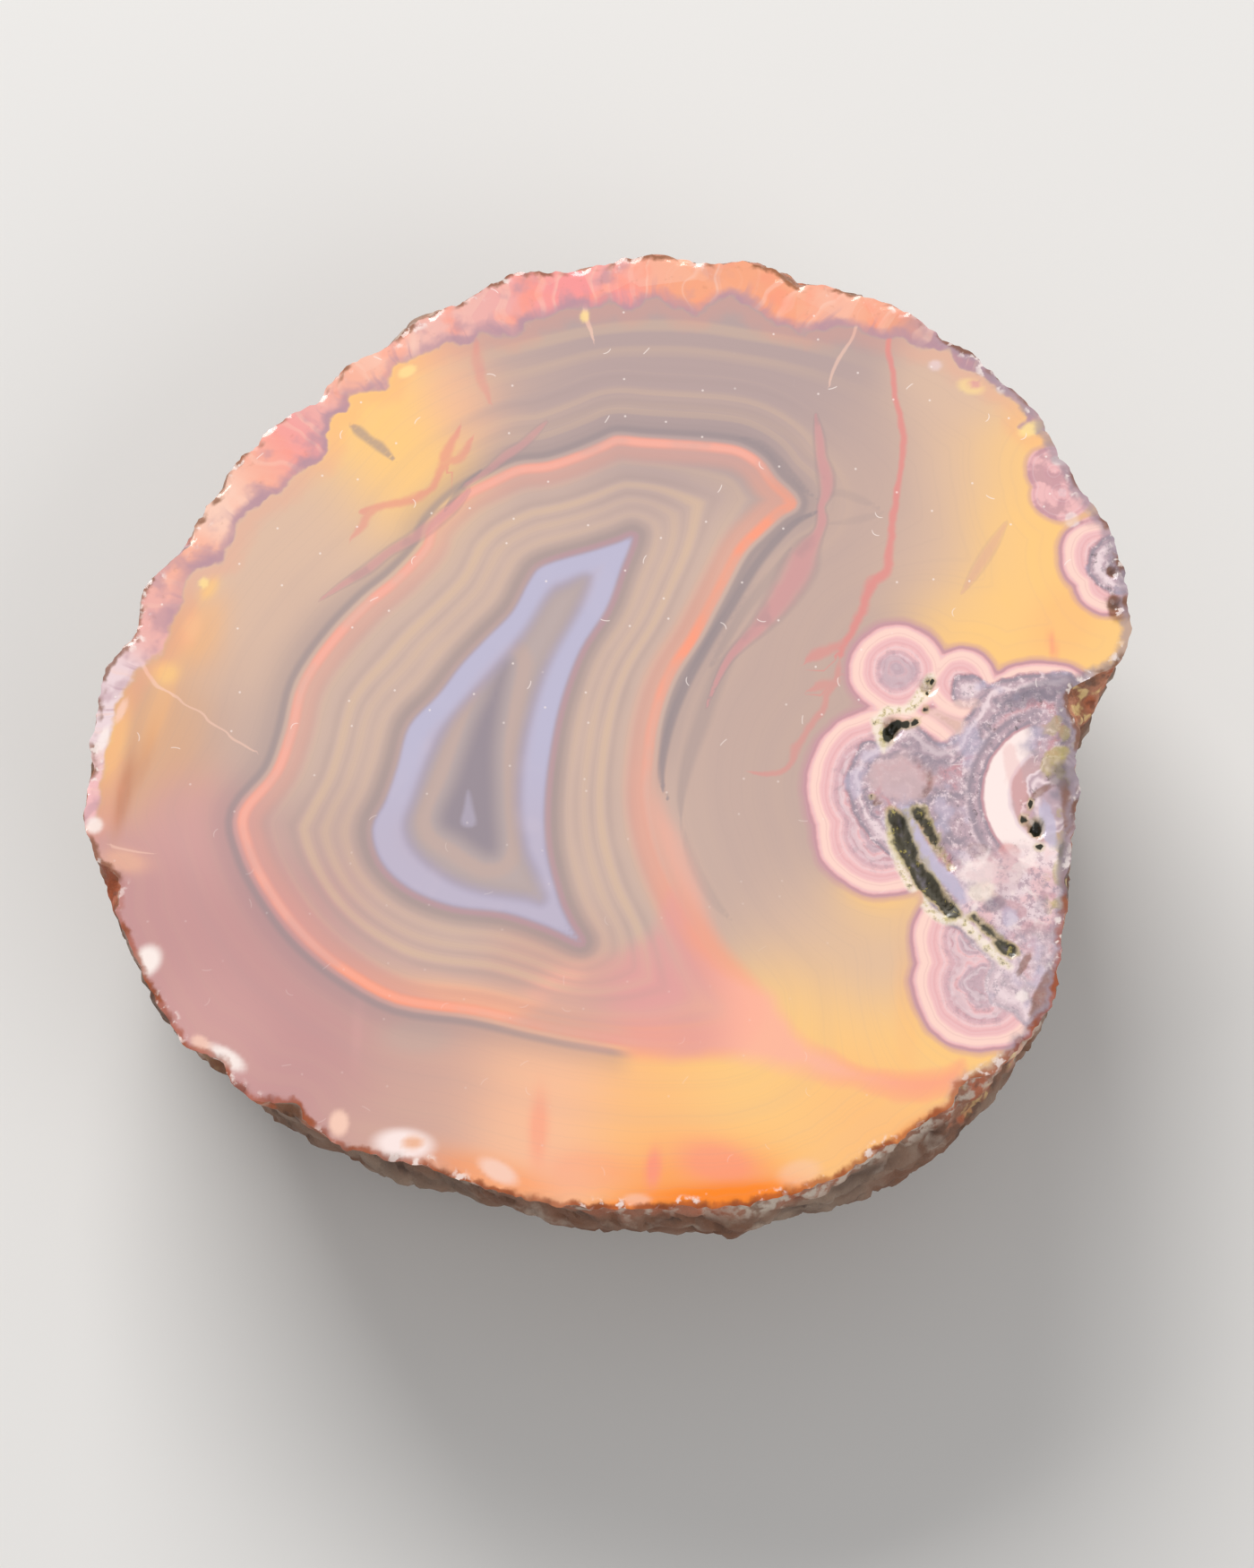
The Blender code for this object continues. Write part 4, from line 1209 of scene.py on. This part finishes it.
def seams_over(r, hue, ragged, speckle):
    """The lavender channel, the cream strips, the moss seams and the pits."""
    channel = r.field("channel_depth") + ragged * 0.5
    hue = r.over(hue, "lilac", channel.rise(-0.15, 0.2) * 0.9)
    cream = r.field("cream_depth") + ragged * 0.9
    hue = r.over(hue, "cream", cream.rise(-0.2, 0.2) * 0.85)
    hue = r.over(hue, "olive", cream.rise(-0.1, 0.3) * speckle.rise(0.45, 0.6) * 0.6)
    hue = r.over(hue, "soot", cream.rise(-0.1, 0.3) * speckle.rise(0.60, 0.70) * 0.8)
    moss = r.field("moss_depth") + ragged * 1.3 + (r.cloud(1.6, 2.0, 55.0) - 0.5) * 0.8
    hue = r.over(hue, "olive", moss.rise(-0.35, -0.05) * 0.55)
    hue = r.over(hue, "moss", moss.rise(-0.12, 0.12) * 0.92)
    hue = r.over(hue, "olive", moss.rise(-0.1, 0.1) * speckle.rise(0.60, 0.72) * 0.7)
    hue = r.over(hue, "slate", moss.rise(0.2, 0.6) * r.cloud(1.0, 2.0, 57.0).rise(0.52, 0.66) * 0.7)
    hole = r.field("pit") + ragged * 1.1
    hue = r.over(hue, "olive", hole.rise(-0.9, -0.1) * 0.4)
    return r.over(hue, "moss", hole.rise(-0.15, 0.15))


def lobes_over(r, base):
    """The lobed corner, from the bands of its lobes up to its dark seams and pits."""
    ragged = (r.cloud(1.1, 3.0, 9.0) - 0.5) * 0.5
    sugar = r.cloud(0.6, 3.0, 17.0, 0.75)
    speckle = r.cloud(0.5, 3.0, 41.0, 0.6)
    depth = r.field("lobe_depth") + ragged * 0.35 + (r.cloud(3.0, 1.0, 18.0) - 0.5) * 0.5
    inner = depth.rise(1.3, 2.4)
    hue = lobe_hue(r, depth, inner, sugar)
    mass = r.field("crystal_depth") + ragged * 0.7 + (r.cloud(2.0, 2.0, 91.0) - 0.5) * 0.8
    mass = mass + (r.cloud(1.4, 2.0, 92.0) - 0.5) * 3.0 * mass.rise(0.5, 1.8)
    hue = r.over(hue, crystal_hue(r, mass, sugar), mass.rise(-0.12, 0.12))

    # The crescents fill the right of the corner, apart from its top, with the mixed patches below
    arc = r.field("arc_radius") + ragged * 0.5
    arc = arc + (r.cloud(1.5, 2.0, 65.0) - 0.5) * 2.8 * arc.rise(3.4, 2.4)
    right = r.east.rise(22.4, 23.6) * r.north.rise(2.2, 1.0) * r.north.rise(-15.0, -13.5)
    top = (r.east + ragged * 3.0).rise(27.0, 28.4) * r.north.rise(-3.4, -1.2) * arc.rise(2.2, 2.9)
    near = arc.rise(6.6, 5.9) * right
    hue = r.over(hue, crescent_hue(r, arc, sugar), near * mass.rise(-0.1, 0.3) * (1.0 - top))
    low = r.north.rise(-7.6, -9.6) * right
    hue = r.over(hue, mixed_hue(r, sugar), low * 0.85)

    # Dirt, stains and the small marks, whose white glint ones are painted highlights
    bright = arc.hump(2.5, 2.8, 5.0, 5.3) * right * r.north.rise(-8.5, -7.0)
    dirty = r.east.rise(20.0, 24.0) * inner * (1.0 - bright) * (0.15 + 0.45 * r.north.rise(-10.0, -6.0))
    hue = r.over(hue, "soot", speckle.rise(0.60, 0.74) * dirty)
    hue = r.over(hue, "soot", r.east.rise(29.2, 30.4) * right * 0.55)
    stained = r.cloud(1.6, 3.0, 81.0).rise(0.56, 0.66) * r.east.rise(28.2, 29.4)
    hue = r.over(hue, "olive", stained * right * 0.4)
    marked = (r.field("marks", "Alpha") + ragged * 1.9).rise(0.22, 0.72) * r.field("mark_power")
    hue = r.over(hue, r.field("marks", "Color"), marked)

    hue = seams_over(r, hue, ragged, speckle)
    base = r.over(base, "lobe_line", depth.hump(-0.45, -0.1, -0.05, 0.2) * 0.45)
    return r.over(base, hue, depth.rise(-0.12, 0.12))


def lint_over(r, base):
    """Pale dust specks and small curls of lint."""
    middle = r.cells(2.6, "Position")
    chance = r.cells(2.6, "Color")
    pick = r.channel(chance, "Red")
    turn = r.channel(chance, "Green") * (2 * math.pi)
    arch = (r.channel(chance, "Blue") - 0.5) * 3.2
    apart = r.add("ShaderNodeVectorMath", {"operation": "SUBTRACT"}, {0: r.place, 1: middle})
    east = r.coordinate(apart, "X") / MM
    north = r.coordinate(apart, "Y") / MM
    ahead = east * r.sum_of("COSINE", turn) + north * r.sum_of("SINE", turn)
    across = north * r.sum_of("COSINE", turn) - east * r.sum_of("SINE", turn)
    bend = across - ahead * ahead * arch
    curl = abs(bend).rise(0.05, 0.02) * abs(ahead).rise(0.36, 0.26) * pick.rise(0.86, 0.88)
    reach = r.sum_of("SQRT", ahead * ahead + across * across)
    speck = reach.rise(0.11, 0.04) * pick.hump(0.30, 0.32, 0.55, 0.57)
    upper = 0.25 + 0.75 * r.north.rise(-12.0, 6.0)
    return r.over(base, "glint", curl.above(speck) * upper * 0.62)


def face_material(name, palette, lobed):
    """The polished face, with the lobes or, away from them, without."""
    r = Recipe(name, palette)
    base = banded_colour(r)
    base = flow_over(r, base)
    base = crust_over(r, base)
    if lobed:
        base = lobes_over(r, base)
    # Away from the lobes: the spots, with their painted highlights and painted glow
    glow = r.field("marks", "Alpha").rise(0.0, 0.9) * r.field("mark_power")
    base = r.over(base, r.field("marks", "Color"), glow * r.field("lobe_depth").rise(0.3, -0.3))

    # Dirt and rust along the rim, and painted glints: white highlights where light catches the crumbly edge
    ragged = r.field("rim_gap") + (r.cloud(1.0, 3.0, 71.0) - 0.5) * 0.8
    right = r.east.rise(18.0, 27.0)
    base = r.over(base, "lobe_dusk", ragged.rise(0.9, 0.3) * right * 0.7)
    base = r.over(base, "umber", ragged.rise(0.45, 0.1) * r.cloud(3.0, 2.0, 73.0).rise(0.46, 0.58) * 0.8)
    base = r.over(base, "rust", ragged.rise(0.5, 0.1) * r.north.rise(-8.0, -16.0) * 0.7)
    painted_glint_patches = r.cloud(0.7, 3.0, 75.0).rise(0.54, 0.68) * r.cloud(4.0, 1.0, 77.0).rise(0.46, 0.60)
    base = r.over(base, "glint", ragged.rise(0.9, 0.3) * painted_glint_patches * 0.7)
    base = lint_over(r, base)
    rough = 0.10 + 0.05 * r.cloud(3.0, 3.0, 20.0) + 0.5 * r.field("moss_depth").rise(-0.1, 0.2)
    return r.finish(base, rough)


def rind_material(palette):
    """The rough rind, fresher just under the polished edge, with its broken flakes."""
    r = Recipe("agate_rind", palette, "3D")
    depth = (FACE_HEIGHT - r.coordinate(r.place, "Z")) / MM
    patch = r.cloud(9.0, 3.0, 1.0)
    base = r.over("rind_brown", "rind_grey", patch.rise(0.40, 0.64) * 0.75)
    base = r.over(base, "rind_dark", r.cloud(4.5, 4.0, 5.0).rise(0.50, 0.74) * 0.55)
    base = r.over(base, "rust", r.cloud(6.5, 3.0, 7.0).rise(0.56, 0.76) * 0.32)
    base = r.over(base, "rind_grey", r.cloud(1.4, 3.0, 9.0).rise(0.52, 0.70) * 0.35)
    base = r.over(base, "rind_pale", r.cloud(3.0, 4.0, 17.0).rise(0.60, 0.74) * 0.45)
    base = r.over(base, "rind_dark", r.field("hollow") * 0.8)
    base = r.over(base, "rind_pale", r.field("ridge") * 0.22)
    fresh = depth.rise(1.7, 0.3)
    # Painted glow: red-orange light shining through the edge, just under the face
    base = r.over(base, "ember_dark", depth.rise(1.6, 0.0) * r.cloud(3.6, 3.0, 11.0).rise(0.38, 0.58) * 0.8)
    base = r.over(base, "clay", fresh * r.cloud(2.4, 3.0, 13.0).rise(0.4, 0.6) * 0.6)
    base = r.over(base, "rind_pale", fresh * r.cloud(1.1, 3.0, 19.0).rise(0.52, 0.66) * 0.7)

    # Broken flakes at the rim, and the pale crumbs under its front
    scar = (r.field("marks", "Alpha") + (r.cloud(1.2, 3.0, 3.0) - 0.5) * 0.5).rise(0.35, 0.6)
    fresh_scar = r.over(r.field("marks", "Color"), "umber", r.cloud(1.6, 3.0, 37.0).rise(0.45, 0.6) * 0.6)
    # Painted glow in the flakes: orange light shining through them
    fresh_scar = r.over(fresh_scar, "ember_dark", r.cloud(2.3, 2.0, 38.0).rise(0.50, 0.62) * 0.6)
    glassy = r.cloud(1.1, 2.0, 39.0)
    fresh_scar = r.over(fresh_scar, "rind_dark", glassy.rise(0.46, 0.34) * 0.55)
    # Painted highlights: golden glints on the glassy flakes
    fresh_scar = r.over(fresh_scar, "butter", glassy.rise(0.56, 0.68) * (0.1 + 0.6 * r.east.rise(20.0, 28.0)))
    base = r.over(base, fresh_scar, scar * depth.rise(4.0, 2.2) * 0.9)
    crumbs = r.cloud(0.8, 3.0, 45.0).rise(0.44, 0.60) * r.east.rise(5.0, 10.0) * r.north.rise(-18.0, -26.0)
    base = r.over(base, "rind_pale", crumbs * depth.rise(1.9, 0.6) * 0.85)
    grain = r.cloud(0.35, 4.0, 25.0, 0.65) + r.cloud(1.1, 3.0, 27.0) * 0.8
    rough = 0.55 + 0.35 * r.cloud(1.5, 3.0, 31.0) - 0.25 * fresh
    return r.finish(base, rough, r.bump(grain, 0.12, 0.9))


def sawn_material(palette):
    """The sawn, unpolished underside, with the same bands under dust and saw marks."""
    r = Recipe("sawn_agate", palette)
    base = banded_colour(r)
    base = flow_over(r, base)
    base = r.over(base, "rind_pale", 0.45 + 0.25 * r.cloud(6.0, 4.0, 2.0))
    base = r.over(base, "rind_grey", r.cloud(4.0, 4.0, 6.0).rise(0.45, 0.75) * 0.3)
    base = r.over(base, "rind_brown", r.field("rim_gap").rise(2.2, 0.2) * 0.7)
    marks = r.stripes(r.east * 0.94 + r.north * 0.34, 2.6, 3.0)
    base = r.over(base, "rind_grey", marks.rise(0.5, 0.7) * 0.25)
    height = marks + 0.5 * r.cloud(0.5, 3.0, 8.0)
    return r.finish(base, 0.62 + 0.2 * marks, r.bump(height, 0.05, 0.7))


def floor_material(settings):
    """The plain dull floor."""
    material = bpy.data.materials.new("studio_floor")
    material.use_nodes = True
    shader = material.node_tree.nodes["Principled BSDF"]
    shader.inputs["Base Color"].default_value = (*settings.floor_colour, 1.0)
    shader.inputs["Roughness"].default_value = FLOOR_ROUGHNESS
    return material


def backed_by(place, back):
    """The matrix of a lamp or camera at a place, with its back to this direction."""
    return Matrix.Translation(place) @ back.to_track_quat("Z", "Y").to_matrix().to_4x4()


# Operators

class AGATE_OT_stone(bpy.types.Operator):
    """Build the dressed stone over the frame's plain solid"""

    bl_idname = "agate.stone"
    bl_label = "Agate stone"

    def execute(self, context):
        shape, palette = context.scene.agate_shape, context.scene.agate_palette
        mesh, on_face, on_rind, on_base = self.stone_mesh(shape)
        stone = bpy.data.objects.new("agate_stone", mesh)
        context.scene.collection.objects.link(stone)
        self.paint(mesh, on_face, on_rind, on_base, shape.rim_points, palette)
        for material in (
            face_material("polished_agate", palette, False), rind_material(palette), sawn_material(palette),
            face_material("polished_lobes", palette, True),
        ):
            mesh.materials.append(material)
        self.part_lobes(mesh)
        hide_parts(NODE)
        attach(stone, "root")
        return {"FINISHED"}

    @staticmethod
    def stone_mesh(shape):
        """(mesh, the points of its face, of its rind and of its base)."""
        solid = Solid(NODE)
        rings = flank_rings(solid, shape)
        bm = bmesh.new()
        ring = bmesh.ops.create_circle(bm, segments=shape.rim_points, radius=HIGH.x)["verts"]
        for vert, place in zip(ring, rings[0]):
            vert.co = place
        top_ring = list(ring)
        for places in rings[1:]:
            ring = next_ring(bm, ring, places)
        rind = set(bm.faces)
        face_grid, face = close_with_grid(bm, top_ring, shape.face_step, FACE_HEIGHT)
        base_grid, base = close_with_grid(bm, ring, shape.base_step, 0.0)
        for vert in face_grid:
            vert.co.z = min(solid.top(vert.co.x, vert.co.y), FACE_HEIGHT)
        for number, faces in enumerate((face, rind, base)):
            for polygon in faces:
                polygon.material_index = number
                polygon.smooth = True
        bmesh.ops.recalc_face_normals(bm, faces=bm.faces)
        for vert_ring in (top_ring, ring):
            for a, b in zip(vert_ring, vert_ring[1:] + vert_ring[:1]):
                bm.edges.get((a, b)).smooth = False
        bm.verts.index_update()
        on_face = [vert.index for vert in top_ring + face_grid]
        on_rind = sorted({vert.index for polygon in rind for vert in polygon.verts})
        on_base = [vert.index for vert in ring + base_grid]
        mesh = bpy.data.meshes.new("agate_stone")
        bm.to_mesh(mesh)
        bm.free()
        return mesh, on_face, on_rind, on_base

    def paint(self, mesh, on_face, on_rind, on_base, rim_points, palette):
        """Stores the pattern's fields on the points of the face and the base, and the rind's marks."""
        places = np.empty(len(mesh.vertices) * 3)
        mesh.vertices.foreach_get("co", places)
        places = places.reshape(-1, 3)
        drawn = (places[:, :2] - DRAWING_ZERO) / MM
        fields = {}
        ground = np.full((len(places), 3), 0.5)
        crust = np.full((len(places), 3), 0.5)
        marks = np.full((len(places), 4), 0.0)
        power = np.zeros(len(places))
        for chosen, scale in ((on_face, 1.0), (on_base, self.base_scale(places, on_face, on_base))):
            spots = drawn[chosen] / scale
            outline = places[chosen[:rim_points], :2]
            rim_gap = edge_distance(np.vstack([outline, outline[:1]]), places[chosen, :2]) / MM
            for name, values in face_fields(spots, rim_gap, palette).items():
                fields.setdefault(name, np.zeros(len(places)))[chosen] = values
            ground[chosen] = wash(spots, palette)
            crust[chosen] = blend(spots, palette, CRUST_DABS)
            hue, cover, power[chosen] = layered(spots, palette, SPOTS_AND_PAINTED_GLOWS + LOBE_MARKS)
            marks[chosen] = np.column_stack([hue, cover])
        for name, values in fields.items():
            set_field(mesh, name, values)
        set_colour(mesh, "wash", ground)
        set_colour(mesh, "crust_wash", crust)
        flank = np.setdiff1d(on_rind, on_face)
        scars = [(x, y, radius, radius, 0, name, 1.0) for x, y, radius, name in FLAKE_SCARS]
        hue, cover, power[flank] = layered(drawn[flank], palette, scars)
        marks[flank] = np.column_stack([hue, cover])
        set_colour(mesh, "marks", marks)
        set_field(mesh, "mark_power", power)
        relief = np.zeros(len(places))
        relief[on_rind] = self.unevenness(places[on_rind] / MM)
        set_field(mesh, "hollow", np.clip(-relief / 0.25 - 0.1, 0, 1))
        set_field(mesh, "ridge", np.clip(relief / 0.25 - 0.2, 0, 1))

    @staticmethod
    def part_lobes(mesh):
        """Gives the lobes and the agate close beside them their own material, the last one."""
        depth = np.empty(len(mesh.vertices))
        mesh.attributes["lobe_depth"].data.foreach_get("value", depth)
        close = (depth > -LOBE_MARGIN).tolist()
        for polygon in mesh.polygons:
            if polygon.material_index == 0 and any(close[vertex] for vertex in polygon.vertices):
                polygon.material_index = len(mesh.materials) - 1

    @staticmethod
    def base_scale(places, on_face, on_base):
        """Size of the base as a share of the face."""
        return np.abs(places[on_base]).max() / np.abs(places[on_face, :2]).max()

    @staticmethod
    def unevenness(spots):
        """Height of the rind's knobs and pits at spots in mm, for darker hollows and paler ridges."""
        return np.array([0.3 * knob(spot) - 0.5 * pit_depth(spot) for spot in map(Vector, spots)])


class AGATE_OT_stage(bpy.types.Operator):
    """Set the pale floor, the soft lamps and the camera"""

    bl_idname = "agate.stage"
    bl_label = "Studio stage"

    def execute(self, context):
        settings = context.scene.agate_studio
        self.floor(context, settings)
        self.lamps(context, settings)
        self.camera(context, settings)
        context.scene.view_settings.view_transform = "Standard"
        return {"FINISHED"}

    def floor(self, context, settings):
        """A wide pale floor just below the stone."""
        bm = bmesh.new()
        drop = Matrix.Translation((0, 0, -FLOOR_DROP))
        bmesh.ops.create_grid(bm, x_segments=8, y_segments=8, size=FLOOR_REACH, matrix=drop)
        mesh = bpy.data.meshes.new("studio_floor")
        bm.to_mesh(mesh)
        bm.free()
        mesh.materials.append(floor_material(settings))
        floor = bpy.data.objects.new("studio_floor", mesh)
        context.scene.collection.objects.link(floor)

    def lamps(self, context, settings):
        """The soft lamps, turned to the middle of the frame, and the light of the air."""
        for name, place, side, watts in LAMPS:
            lamp = bpy.data.lights.new(name, "AREA")
            lamp.shape = "SQUARE"
            lamp.size = side
            lamp.energy = watts * settings.light
            holder = bpy.data.objects.new(name, lamp)
            holder.matrix_world = backed_by(Vector(place), Vector(place))
            context.scene.collection.objects.link(holder)
        world = bpy.data.worlds.new("studio_air")
        world.use_nodes = True
        air = world.node_tree.nodes["Background"]
        air.inputs["Color"].default_value = AIR_COLOUR
        air.inputs["Strength"].default_value = AIR_STRENGTH * settings.light
        context.scene.world = world

    def camera(self, context, settings):
        """Looks down along +Y at the face, a little below its middle."""
        aim = Vector((DRAWING_ZERO[0] + AIM[0] * MM, DRAWING_ZERO[1] + AIM[1] * MM, FACE_HEIGHT))
        back = Vector((0, -math.cos(settings.elevation), math.sin(settings.elevation)))
        lens = bpy.data.cameras.new("photo_view")
        lens.lens = settings.lens
        lens.sensor_width = SENSOR_WIDTH
        camera = bpy.data.objects.new("photo_view", lens)
        camera.matrix_world = backed_by(aim + back * settings.distance, back)
        context.scene.collection.objects.link(camera)
        context.scene.camera = camera


class AGATE_PT_sidebar(bpy.types.Panel):
    """The stone's settings and its two operators"""

    bl_idname = "AGATE_PT_sidebar"
    bl_label = "Agate Slice"
    bl_space_type = "VIEW_3D"
    bl_region_type = "UI"
    bl_category = "Agate"

    def draw(self, context):
        for settings in (context.scene.agate_shape, context.scene.agate_studio, context.scene.agate_palette):
            for name in settings.__annotations__:
                self.layout.prop(settings, name)
        for operator in (AGATE_OT_stone, AGATE_OT_stage):
            self.layout.operator(operator.bl_idname)


CLASSES = (AgatePalette, AgateShape, AgateStudio, AGATE_OT_stone, AGATE_OT_stage, AGATE_PT_sidebar)


def register():
    for entry in CLASSES:
        bpy.utils.register_class(entry)
    bpy.types.Scene.agate_palette = bpy.props.PointerProperty(type=AgatePalette)
    bpy.types.Scene.agate_shape = bpy.props.PointerProperty(type=AgateShape)
    bpy.types.Scene.agate_studio = bpy.props.PointerProperty(type=AgateStudio)


def unregister():
    del bpy.types.Scene.agate_studio
    del bpy.types.Scene.agate_shape
    del bpy.types.Scene.agate_palette
    for entry in reversed(CLASSES):
        bpy.utils.unregister_class(entry)


def main():
    register()
    bpy.ops.agate.stone()
    bpy.ops.agate.stage()


if __name__ == "__main__":
    main()
